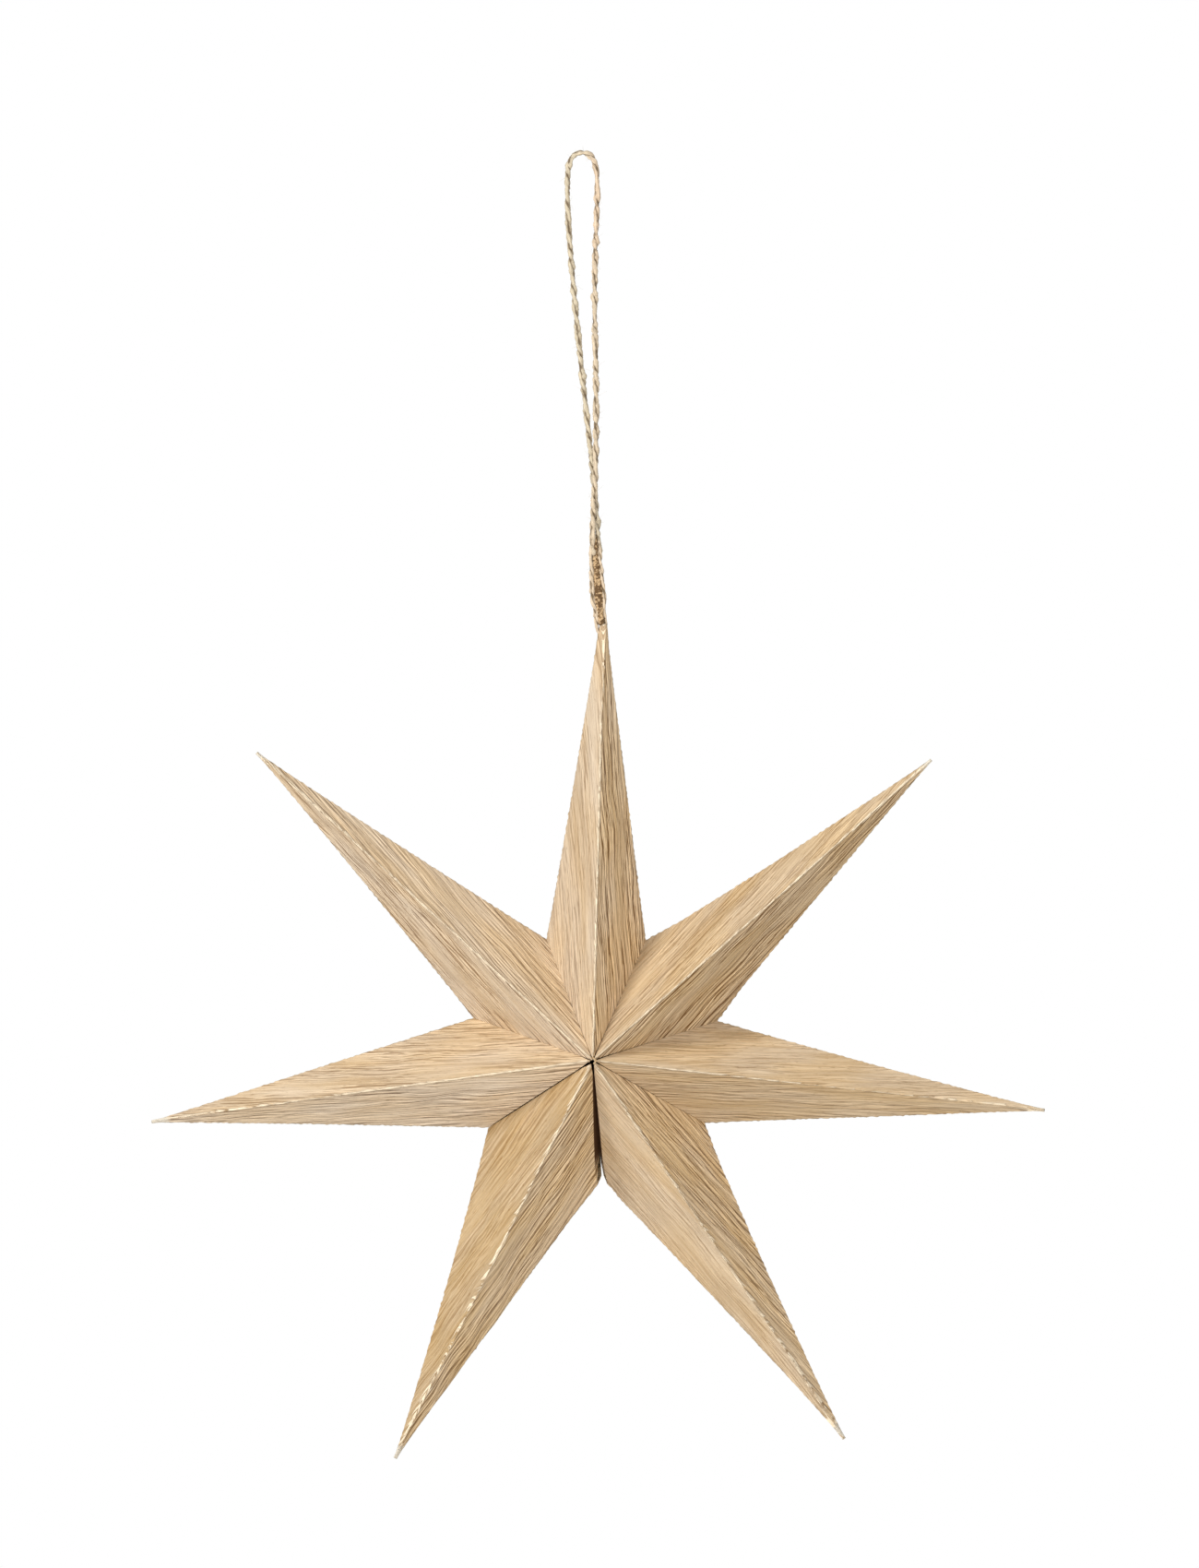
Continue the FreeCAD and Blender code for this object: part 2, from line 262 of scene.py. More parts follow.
class StarStageSettings(bpy.types.PropertyGroup):
    ambient: measure("Ambient", "Level of the even light", 0.50, "NONE")
    key: measure("Key", "Power of the lamp at the upper left", 29.0, "POWER")
    fill: measure("Fill", "Power of the soft lamp in front", 28.0, "POWER")
    back: measure("Back", "Power of the soft lamp behind", 40.0, "POWER")
    floor_drop: measure("Floor", "Height of the floor, from the top of the loop", -0.45)
    backdrop: colour("Backdrop", "Colour behind the star", "FFFFFF")
    floor: colour("Floor colour", "Pale matt floor", "E6E4E0")


def add(tree, kind, *values, sockets=None, **settings):
    """Add a node with its settings, and what its inputs hold or are linked to.

    Values go to the inputs in order, sockets name theirs. A node stands for its first result.
    """
    node = tree.nodes.new("ShaderNode" + kind)
    for name, value in settings.items():
        setattr(node, name, value)
    for key, value in [*enumerate(values), *(sockets or {}).items()]:
        if isinstance(value, bpy.types.Node):
            value = next(output for output in value.outputs if output.enabled)
        if isinstance(value, bpy.types.NodeSocket):
            tree.links.new(value, node.inputs[key])
        else:
            node.inputs[key].default_value = value
    return node


def new_material(name):
    """An empty material of that name, and its node tree."""
    material = bpy.data.materials.new(name)
    material.use_nodes = True
    material.node_tree.nodes.clear()
    return material, material.node_tree


def unit(vectors):
    """Each vector at length one."""
    return vectors / np.maximum(np.linalg.norm(vectors, axis=-1, keepdims=True), 1e-12)


def bell(distance, width):
    """Bell curve: one at no distance, e to the minus first at a width."""
    return np.exp(-(distance / width) ** 2)


def waver(x, scale, rng, waves=7):
    """Smooth random curve of about unit height: a sum of cosines of wavelengths round a scale."""
    steps = rng.uniform(0.45, 2.4, waves)
    turns = rng.uniform(0, 2 * np.pi, waves)
    return np.cos(x[..., None] / scale * steps * 2 * np.pi + turns).sum(-1) / math.sqrt(waves / 2)


def new_piece(name, points, faces, attributes, slot, material):
    """A mesh piece in place, with its face corners given as lists, on the root body."""
    mesh = bpy.data.meshes.new(name)
    mesh.from_pydata(points.tolist(), [], faces)
    for key, values in attributes.items():
        kind, channel = ("FLOAT", "value") if values.ndim == 1 else ("FLOAT_VECTOR", "vector")
        layer = mesh.attributes.new(key, kind, "POINT")
        layer.data.foreach_set(channel, values.astype(np.float32).ravel())
    mesh.polygons.foreach_set("use_smooth", np.ones(len(mesh.polygons), bool))
    mesh.validate()
    mesh.update()
    piece = bpy.data.objects.new(name, mesh)
    bpy.context.scene.collection.objects.link(piece)
    mesh.materials.append(material)
    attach(piece, "root")
    return piece


def grid_faces(rows, columns, start=0, closed=False, flip=False):
    """Quads of a grid of points stored row by row, as an array of four corners each."""
    r, c = np.meshgrid(np.arange(rows - 1), np.arange(columns if closed else columns - 1),
                       indexing="ij")
    right = (c + 1) % columns
    quads = np.stack([r * columns + c, r * columns + right,
                      (r + 1) * columns + right, (r + 1) * columns + c], -1).reshape(-1, 4) + start
    return quads[:, ::-1] if flip else quads


class Point:
    """Corners of one point, read from its card: centres, tip, side corners and blunt end."""

    def __init__(self, node, slit_side):
        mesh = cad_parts[node].data
        co = np.zeros(len(mesh.vertices) * 3)
        mesh.vertices.foreach_get("co", co)
        co = co.reshape(-1, 3)
        self.back = co[np.argmax(co[:, 1])]
        self.front = co[np.argmin(co[:, 1])]
        self.hub = self.back * (1, 0, 1)
        flat = (co[np.abs(co[:, 1]) < IN_PLANE] - self.hub)[:, [0, 2]]
        reach = np.linalg.norm(flat, axis=1)
        ends = flat[reach > reach.max() - NEAR_END]
        axis = unit(ends.mean(0))
        across = axis[0] * flat[:, 1] - axis[1] * flat[:, 0]
        corners = [flat[np.argmin(across)], flat[np.argmax(across)]]
        # The two side edges, run on past the cut, meet at the ideal tip
        cut_ends = [flat[np.argmax(reach * (sign * across >= -ON_AXIS))] for sign in (-1, 1)]
        run = [end - corner for end, corner in zip(cut_ends, corners)]
        along = np.linalg.solve(np.stack([run[0], -run[1]], 1), corners[1] - corners[0])[0]
        tip = corners[0] + run[0] * along
        self.axis = np.array([axis[0], 0, axis[1]])
        self.tip = self.hub + np.array([tip[0], 0, tip[1]])
        self.corners = [self.hub + np.array([c[0], 0, c[1]]) for c in corners]
        self.cut = max(np.linalg.norm(tip) - ends.mean(0) @ axis, BLUNT)
        self.slit_side = slit_side
        self.contact = None


def read_points():
    """All seven points, with the place where the two end points' back edges meet."""
    points = {node: Point(node, facts["side"]) for node, facts in POINTS.items()}
    ends = [p for p in points.values() if p.slit_side is not None]
    middle = unit(sum(unit(p.corners[p.slit_side] - p.hub) for p in ends))
    radius = np.linalg.norm(ends[0].corners[ends[0].slit_side] - ends[0].hub)
    for point in ends:
        depth = point.back[1]
        gape = SLIT_GAPE / math.hypot(radius, depth)
        step = np.array([SLIT_STEP, depth * gape, 0])
        point.contact = point.hub + middle * radius * (1 - gape) + step
    return points


def outline_of(point, card):
    """Corners round the point from its back centre and back to it, and each fold's rounding.

    The third value is the place of the front centre among the corners.
    """
    ring = [point.back, point.corners[0], point.front, point.corners[1], point.back]
    folds = [card.ridge, card.edge, card.ridge, card.edge, 0.0]
    if point.slit_side is not None:
        place = (1, 4)[point.slit_side]
        ring.insert(place, point.contact)
        folds.insert(place, SLIT_FOLD)
    front = 3 if point.slit_side == 0 else 2
    return np.array(ring), np.array(folds), front


def columns_of(panels):
    """Column list of the folded sheet: its flap, then a fold before each panel, then the panel.

    Each column has a kind (0 flap, 1 fold, 2 panel), the panel or fold it belongs to, and its
    place there from 0 to 1.
    """
    kinds, owners = [0] * FLAP_COLUMNS, [0] * FLAP_COLUMNS
    places = list(np.linspace(0, 1, FLAP_COLUMNS, endpoint=False))
    for panel in range(panels):
        inner = np.linspace(0, 1, PANEL_COLUMNS + 2)[1:-1]
        if panel == panels - 1:
            inner = np.append(inner, 1.0)
        kinds += [1] * FOLD_STEPS + [2] * len(inner)
        owners += [panel] * (FOLD_STEPS + len(inner))
        places += [*np.linspace(0, 1, FOLD_STEPS), *inner]
    return np.array(kinds), np.array(owners), np.array(places)


class FoldedSheet:
    """The folded sheet of one point as two grids of points, outer and inner, with attributes.

    Every panel is a fan of straight lines from the tip: a place on it is the tip plus a share
    of the way to a corner, carried across towards the next corner. Rows are such shares, columns
    are lines. Small moves by smooth noise and bell curves are then added to both grids.
    """

    def __init__(self, node, point, card, seed):
        self.node, self.point, self.card, self.seed = node, point, card, seed
        self.facts = POINTS[node]
        self.ring, self.folds, self.front = outline_of(point, card)
        self.panels = len(self.ring) - 1
        kinds, self.owners, self.places = columns_of(self.panels)
        self.flap, self.fold, self.panel = (kinds == k for k in range(3))
        self.rays = self.ring - point.tip
        self.lengths = np.linalg.norm(self.rays, axis=1)
        self.ahead = unit(np.roll(self.ring, -1, 0) - self.ring)
        self.behind = unit(np.roll(self.ring, 1, 0) - self.ring)
        self.inside = self.ring.mean(0) * 0.7 + point.tip * 0.3    # a place in the hollow point
        normals = unit(np.cross(self.rays[:-1], self.rays[1:]))
        self.normals = normals * np.sign(((self.ring[:-1] - self.inside) * normals).sum(-1))[:, None]
        # Each column's line from the tip, and its share of its own panel beside the one before
        self.mix = np.where(self.panel, self.places, 0.0)[:, None]
        self.ray = self.rays[self.owners] * (1 - self.mix) + self.rays[self.owners + 1] * self.mix
        self.ray_length = np.linalg.norm(self.ray, axis=1)
        self.own = np.where(self.fold, self.places, 1.0)[:, None]
        self.face_normal = unit(self.blended(self.normals))

        rng = np.random.default_rng(seed)
        outer = self.with_tabs(self.fan(rng))
        moved = self.swelling(rng) + self.valley_moves(outer) + self.tip_moves(outer)
        self.inner = self.inner_grid(outer) + moved
        self.outer = outer + moved
        self.inner[0] = self.outer[0].mean(0)

    def blended(self, values):
        """A value of each panel, for each column: at a fold it goes over from panel to panel."""
        before = np.maximum(self.owners - 1, 0)
        return values[before] * (1 - self.own) + values[self.owners] * self.own

    def fan(self, rng):
        """The panels from the tip to their valleys, the folds between them and the flap.

        A fold is a parabola from a little before its line to a little after it, tangent to both
        panels. The flap lies a layer under the last panel and is led into by the same parabola.
        """
        card, owners, place = self.card, self.owners, self.places[None, :, None]
        self.first = self.point.cut / -(self.ray @ self.point.axis)
        self.spread = np.linspace(0, 1, FAN_ROWS + 1)[:, None] ** ROW_SPREAD
        share = self.first + (1 - card.valley / self.ray_length - self.first) * self.spread
        share = np.vstack([share, np.ones(len(owners))])
        more_rows = VALLEY_STEPS + TAB_ROWS
        self.share = np.vstack([share[:FAN_ROWS], np.ones((more_rows, len(owners)))])

        s = share[:, :, None]
        height, scale = FOLD_WAVER
        run = self.lengths[0] * share[:, 0]
        wavering = np.stack([waver(run, scale, rng) for _ in self.folds], 1)
        gaps = np.linalg.norm(np.diff(self.rays, axis=0), axis=1)
        side = np.minimum(np.append(gaps, np.inf), np.insert(gaps, 0, np.inf))
        width = np.minimum(self.folds * (1 + height * wavering)[:, None, :], FOLD_MOST * s * side)
        columns = np.arange(len(owners))
        before, after = (width[:, columns, owners + step][..., None] for step in (0, 1))
        here = self.point.tip + s * self.rays[owners]
        there = self.point.tip + s * self.rays[owners + 1]
        start = here + before * self.ahead[owners]
        end = there + after * self.behind[owners + 1]
        panels = start * (1 - place) + end * place

        towards = self.behind[-1]
        from_tip = s * self.lengths[0]
        free = np.minimum(from_tip - FLAP_TIP_RELIEF,
                          self.lengths[0] - from_tip - FLAP_CENTRE_RELIEF)
        free = np.minimum(np.clip(free, FLAP_LEAST, FLAP_WIDTH), 0.5 * s * side[-1])
        root = here - np.minimum(1, s * 12) * self.normals[-1] * (card.thickness + LAYER_GAP)
        root = root + np.minimum(FLAP_INSET, 0.2 * s * side[-1]) * towards
        flaps = root + towards * free * (1 - place)

        rounded = here + before * ((1 - place) ** 2 * self.behind[owners]
                                   + place ** 2 * self.ahead[owners])
        leading = (1 - place) ** 2 * root + 2 * place * (1 - place) * here + place ** 2 * start
        rounded = np.where((owners == 0)[None, :, None], leading, rounded)
        positions = np.where(self.flap[None, :, None], flaps, panels)
        return np.where(self.fold[None, :, None], rounded, positions)

    def with_tabs(self, positions):
        """The fan with its valleys and tabs: each column turns by a parabola into its tab.

        A tab lies in the plane between two points, and narrows towards the centre and the corner.
        """
        point, ring, owners, front = self.point, self.ring, self.owners, self.front
        opposite = np.array([point.front] * self.panels)
        opposite[[front - 1, front]] = point.back
        if point.slit_side is not None:
            opposite[front - 1 + point.slit_side] = point.contact
        line = self.ahead[:-1]
        reach = opposite - ring[:-1]
        self.tab = unit(reach - line * (reach * line).sum(-1, keepdims=True))
        way = unit(self.blended(self.tab))
        self.brim = positions[-1]
        self.from_here = np.linalg.norm(self.brim - ring[owners], axis=1)
        self.from_next = np.linalg.norm(self.brim - ring[owners + 1], axis=1)
        reliefs = np.where(np.isin(owners, [0, front])[:, None],
                           [[TAB_CENTRE_RELIEF, TAB_CORNER_RELIEF]],
                           [[TAB_CORNER_RELIEF, TAB_CENTRE_RELIEF]])
        bend = self.card.valley
        width = np.minimum(self.from_here - reliefs[:, 0], self.from_next - reliefs[:, 1])
        width = np.clip(np.where(self.panel, width, 0), TAB_LEAST * bend, TAB_WIDTH)
        turn = np.linspace(0, 1, VALLEY_STEPS)[:, None, None]
        valley = self.brim + bend * ((1 - turn) ** 2 * unit(point.tip - self.brim)
                                     + turn ** 2 * way)
        far = np.linspace(0, 1, TAB_ROWS + 1)[1:, None, None]
        tabs = self.brim + way * (bend + far * (width - bend)[:, None])
        return np.concatenate([positions[:FAN_ROWS], valley, tabs])

    def swelling(self, rng):
        """Slight swelling of the panels, none at folds, tip and valleys, and uneven folds."""
        s, owners, places = self.share, self.owners, self.places
        hold = np.sin(np.pi * places) ** 0.8 * self.panel * np.sin(np.pi * s) ** 0.7
        swell = np.zeros_like(s)
        for k in range(self.panels):
            mine = owners == k
            along = s[:, mine] * self.lengths[k]
            across = places[mine] * PANEL_WIDTH * s[:, mine]
            slanting = along * 0.4 + across * 1.6
            for way, (height, scale) in ((along, LONG_SWELL), (slanting, SHORT_SWELL)):
                swell[:, mine] += waver(way, scale, rng, 5) * height
        steps, rough = (waver(s * self.lengths[k], scale, rng) * height for k, (height, scale)
                        in ((self.front, RIDGE_STEPS), (1, EDGE_STEPS)))
        crest = np.sin(np.pi * places) * self.fold
        crest = crest * np.where(np.isin(owners, [0, self.front]), steps, rough)
        crest[FAN_ROWS:] = 0
        lift = hold * swell * self.card.warp + crest * np.clip(s * 8, 0, 1)
        return lift[..., None] * self.face_normal

    def valley_moves(self, outer):
        """Valley edges that stand back, a corner short of the centre, and one bent in."""
        point, ring, owners, front = self.point, self.ring, self.owners, self.front
        wall = unit(np.cross(self.ahead[:-1], self.tab))
        wall = wall * np.sign(((self.inside - ring[:-1]) * wall).sum(-1))[:, None]
        wall = self.blended(wall)
        self.wall = unit(wall)
        run = np.where(owners >= front, self.from_here, self.from_next)
        run = np.where(self.fold & (owners == front), 0.0, run)
        place = np.clip(run / np.linalg.norm(point.front - point.corners[0]), 0, 1)
        stand = np.zeros(len(owners))
        for side, (near, middle, far) in enumerate(self.facts["back"]):
            eased = np.interp(place, [0, 0.2, 0.6, 0.8, 1],
                              [near, 0.5 * (near + middle), middle, middle * 0.96 + far * 0.04, far])
            stand = np.where(owners == front - 1 + side, eased * MM, stand)
        before = (1 - self.share) * self.ray_length
        past = np.linalg.norm(outer - self.brim, axis=-1) * (self.share >= 1)
        fade = bell(before, VALLEY_FADE) * bell(past, VALLEY_FADE)
        moved = (stand * fade)[..., None] * wall / (wall ** 2).sum(-1, keepdims=True)
        near = bell(np.linalg.norm(outer - point.front, axis=-1), CORNER_FADE)
        moved += (self.facts["short"] * MM * near)[..., None] * unit(point.tip - point.front)
        node, side, inward, over = ROUNDED_CORNER
        if self.node == node:
            corner = point.corners[side]
            way_in = unit(unit(point.front - corner) + unit(point.tip - corner))
            near = bell(np.linalg.norm(outer - corner, axis=-1), over)
            moved += (inward * near)[..., None] * way_in * (1, 0.3, 1)
        return moved

    def tip_moves(self, outer):
        """How the folded point differs from its flat cut: its lean, width, length and tip.

        Near the tip the layers are pressed together, so its width is the root of the sum of two
        squares: the cut's own width and that of the pressed layers.
        """
        point, facts, s = self.point, self.facts, self.share
        sideways = np.cross(point.axis, (0, 1, 0))
        lateral = (outer - point.tip) @ sideways
        inwards = -(outer - point.tip) @ point.axis
        arms = np.array(point.corners) - point.tip
        flare = np.mean(np.abs(arms @ sideways) / -(arms @ point.axis))
        half = flare * np.maximum(inwards, 0.1 * MM)
        outness = np.clip(lateral / half, -1, 1)
        pressed = np.sqrt(half ** 2 + TIP_HALF ** 2) / half - 1
        slimmer = facts["slim"] * np.interp(s, [0, 0.6, 0.88, 1], [0, 1, 1, 0])
        leaning = np.interp(s, [0, 0.5, 1], [*facts["lean"], 0])
        across = (leaning - outness * slimmer) * MM + pressed * lateral
        node, out, from_cut, over = TIP_BULGE
        if self.node == node:
            across += out * bell(inwards - point.cut - from_cut, over) * outness
        node, right, over = RIDGE_LEAN
        if self.node == node:
            across -= right * np.exp(-inwards / over) * (1 - outness ** 2) * (outer[..., 1] < 0)
        thicker = 0.6 * pressed * outer[..., 1]
        longer = facts["longer"] * MM * np.exp(-inwards / TIP_STRETCH)
        return (across[..., None] * sideways + thicker[..., None] * (0, 1, 0)
                + longer[..., None] * point.axis)

    def inner_grid(self, outer):
        """The same fan with its corners moved in by the thickness, mitred at the folds."""
        tip, rays, owners = self.point.tip, self.rays, self.owners
        corners = np.arange(self.panels + 1)
        left, right = self.normals[corners - 1], self.normals[corners % self.panels]
        mitre = -(left + right) / (1 + (left * right).sum(-1))[:, None]
        thickness = self.card.thickness
        thick = np.minimum(thickness, TIP_THINNING * self.share)[..., None]
        rows = self.share.copy()
        rows[:FAN_ROWS] = self.first + ((1 - INNER_INSET / self.ray_length - self.first)
                                        * self.spread[:-1])
        low, high = (tip + rows[:, :, None] * rays[k] + thick * mitre[k] for k in
                     (owners, owners + 1))
        inner = low * (1 - self.mix) + high * self.mix
        inner[-TAB_ROWS:] = outer[-TAB_ROWS:] + self.wall * thickness
        normal = self.face_normal
        corner = (self.wall - normal) / (1.25 - (normal * self.wall).sum(-1))[:, None]
        inner[FAN_ROWS:-TAB_ROWS] = self.brim + corner * thickness * 0.9
        inner[:, self.flap] = outer[:, self.flap] - self.normals[-1] * thickness
        return inner

    def attributes(self):
        """What the veneer reads: places on the flat sheet, distances in millimetres, tones, and
        painted light and shade.
        """
        point, facts, outer, owners = self.point, self.facts, self.outer, self.owners
        # The sheet laid flat about the tip, with the front ridge along X and then the grain
        rays = unit(self.rays)
        opened = np.cumsum([0, *np.arccos((rays[:-1] * rays[1:]).sum(-1))])
        opened = opened - opened[self.front]
        distance = np.linalg.norm(outer - point.tip, axis=-1)
        turn = np.arccos(np.clip((unit(outer - point.tip) * rays[owners]).sum(-1), -1, 1))
        turn_back = self.flap | (self.fold & (self.places < 0.5))
        turn = opened[owners] + np.where(turn_back, -turn, turn)
        reach = distance.copy()
        reach[-TAB_ROWS:] = (np.linalg.norm(self.brim - point.tip, axis=-1)
                             + np.linalg.norm(outer[-TAB_ROWS:] - self.brim, axis=-1))
        reach = reach / MM
        grain = math.radians(facts["grain"])
        level = np.ones_like(reach)
        sheet = np.stack([reach * np.cos(turn + grain), reach * np.sin(turn + grain),
                          self.seed * 11.0 * level], -1)

        # Along and across the nearest ridge, with its shaded side first, and the grain's slope
        across = np.array([np.sin(turn - ridge) for ridge in (0.0, opened[0], opened[-1])])
        nearest = np.abs(across).argmin(0)[None]
        across = np.take_along_axis(across, nearest, 0)[0] * reach
        towards_light = np.array([-point.axis[2], point.axis[0]]) @ LIT_SIDE
        sense = np.sign(towards_light)
        ridge = np.stack([reach + self.seed * 137.0, -sense * across,
                          sense * math.tan(grain) * level], -1)

        # Painted shade on the slit's unlit walls, as far as the place near the corner where light
        # comes in
        dusk = np.zeros_like(reach)
        if point.slit_side is not None:
            walls = self.front + np.array(((-2, -1), (0, 1))[point.slit_side])
            turned = np.concatenate([np.zeros(FAN_ROWS), np.linspace(0, 1, VALLEY_STEPS) ** 0.5,
                                     np.ones(TAB_ROWS)])[:, None]
            from_corner = np.linalg.norm(self.brim - point.corners[point.slit_side], axis=1) / MM
            dusk = (turned * (np.isin(owners, walls) & ~self.flap)
                    * np.interp(from_corner, SLIT_SHADE_STRETCH, [0, 1]))

        edges = [k for k in range(1, self.panels) if k != self.front]
        from_tip = outer - point.tip
        from_edges = [from_tip - (from_tip @ rays[k])[..., None] * rays[k] for k in edges]
        layers = {
            "sheet": sheet, "ridge": ridge, "dusk": dusk,
            "edge_off": np.min([np.linalg.norm(off, axis=-1) for off in from_edges], axis=0) / MM,
            "centre_off": np.linalg.norm(outer - point.front, axis=-1) / MM,
            "lit": sense * max(abs(towards_light), 0.75) * level,
            "worn": facts["worn"] - (distance - point.cut) / MM}
        # Face by face: tone, painted light and shade, and strength of the painted flank light and
        # shade
        for key in ("warm", "light", "marks"):
            face = np.array([facts[key][int(k >= self.front)] for k in range(self.panels)])
            layers[key] = self.blended(face[:, None])[:, 0] * level
        return layers

    def mesh(self):
        """Points, faces and attributes of both grids and of the cut edge between them."""
        rows, columns = self.outer.shape[:2]
        count = rows * columns
        index = np.arange(count).reshape(rows, columns)
        around = np.concatenate([index[0, :], index[1:, -1], index[-1, -2::-1], index[-2:0:-1, 0]])
        following = np.roll(around, -1)
        rim = np.stack([following, around, around + count, following + count], -1)
        faces = np.concatenate([grid_faces(rows, columns),
                                grid_faces(rows, columns, count, flip=True), rim])
        points = np.concatenate([self.outer.reshape(-1, 3), self.inner.reshape(-1, 3)])
        layers = {"bare": np.repeat([0.0, 1.0], count)}
        for key, values in self.attributes().items():
            flat = values.reshape(count, -1).squeeze()
            layers[key] = np.concatenate([flat, flat])
        return points, faces.tolist(), layers


def grain_marks(tree, place, size, detail, found, level=(0.0, 1.0), shift=(0.0, 0.0, 0.0)):
    """Marks drawn out along the grain: noise stretched to a length and width in millimetres.

    What lies between the two found limits rises smoothly from the first to the second level.
    """
    at = add(tree, "VectorMath", place, (1 / size[0], 1 / size[1], 1.0), shift,
             operation="MULTIPLY_ADD")
    noise = add(tree, "TexNoise", sockets={"Vector": at, "Scale": 1.0, "Detail": detail,
                                           "Roughness": 0.55})
    return add(tree, "MapRange", noise, *found, *level, **SMOOTH)


def painted_flank_light(tree, place, lean, half_step, size, shift):
    """Painted light and shade of relief along the grain, above zero where a flank faces the light,
    else below.

    It is the height a half step away from the light less the height a half step towards it.
    """
    flanks = []
    for step in (-half_step, half_step):
        moved = add(tree, "VectorMath", lean, (step, step, step), place, operation="MULTIPLY_ADD")
        flanks.append(grain_marks(tree, moved, size, 2.0, (0.25, 0.75), shift=shift))
    return add(tree, "Math", *flanks, operation="SUBTRACT")


def torn_fibres(tree, run, across, slope, seed):
    """Pale torn fibres along a ridge, and the shadows beside them, as two masks.

    A set of fibres follows itself along the ridge. Each one is a spindle that runs with the grain
    and so crosses the ridge, at a sixth of the spacing to all of it. Sets overlap like shingles.
    """
    wander = add(tree, "TexNoise", sockets={"W": run, "Scale": 1 / 13, "Detail": 2.0},
                 noise_dimensions="1D")
    masks = [None, None]
    for number, (spacing, half_width, phase) in enumerate(TORN_SETS):
        drift = add(tree, "Math", wander, 1.6, phase, operation="MULTIPLY_ADD")
        turn = add(tree, "Math", run, 1 / spacing, drift, operation="MULTIPLY_ADD")
        which = add(tree, "Math", turn, operation="FLOOR")
        name = add(tree, "Math", seed, which, operation="ADD")
        name = add(tree, "Math", name, number * 0.37, operation="ADD")
        chance = add(tree, "TexWhiteNoise", sockets={"W": name}, noise_dimensions="1D")
        place = add(tree, "Math", turn, operation="FRACT")
        place = add(tree, "Math", place, 0.5, operation="SUBTRACT")
        along = add(tree, "Math", place, spacing, operation="MULTIPLY")
        middle = add(tree, "Math", along, slope, operation="MULTIPLY")
        off = add(tree, "Math", across, middle, operation="SUBTRACT")
        taper = add(tree, "Math", place, place, operation="MULTIPLY")
        taper = add(tree, "Math", taper, -4.0, 1.0, operation="MULTIPLY_ADD")
        width = add(tree, "MapRange", chance, 0.0, 1.0, 0.05, half_width)
        width = add(tree, "Math", width, taper, operation="MULTIPLY")
        beside = add(tree, "Math", off, TORN_SHADOW, operation="SUBTRACT")
        for k, (line, soft, top) in enumerate(((off, 0.06, 1.0), (beside, 0.14, 0.9))):
            clear = add(tree, "Math", line, operation="ABSOLUTE")
            inside = add(tree, "Math", width, clear, operation="SUBTRACT")
            mask = add(tree, "MapRange", inside, -soft, soft, 0.0, top, **SMOOTH)
            if masks[k]:
                mask = add(tree, "Math", masks[k], mask, operation="MAXIMUM")
            masks[k] = mask
    return masks


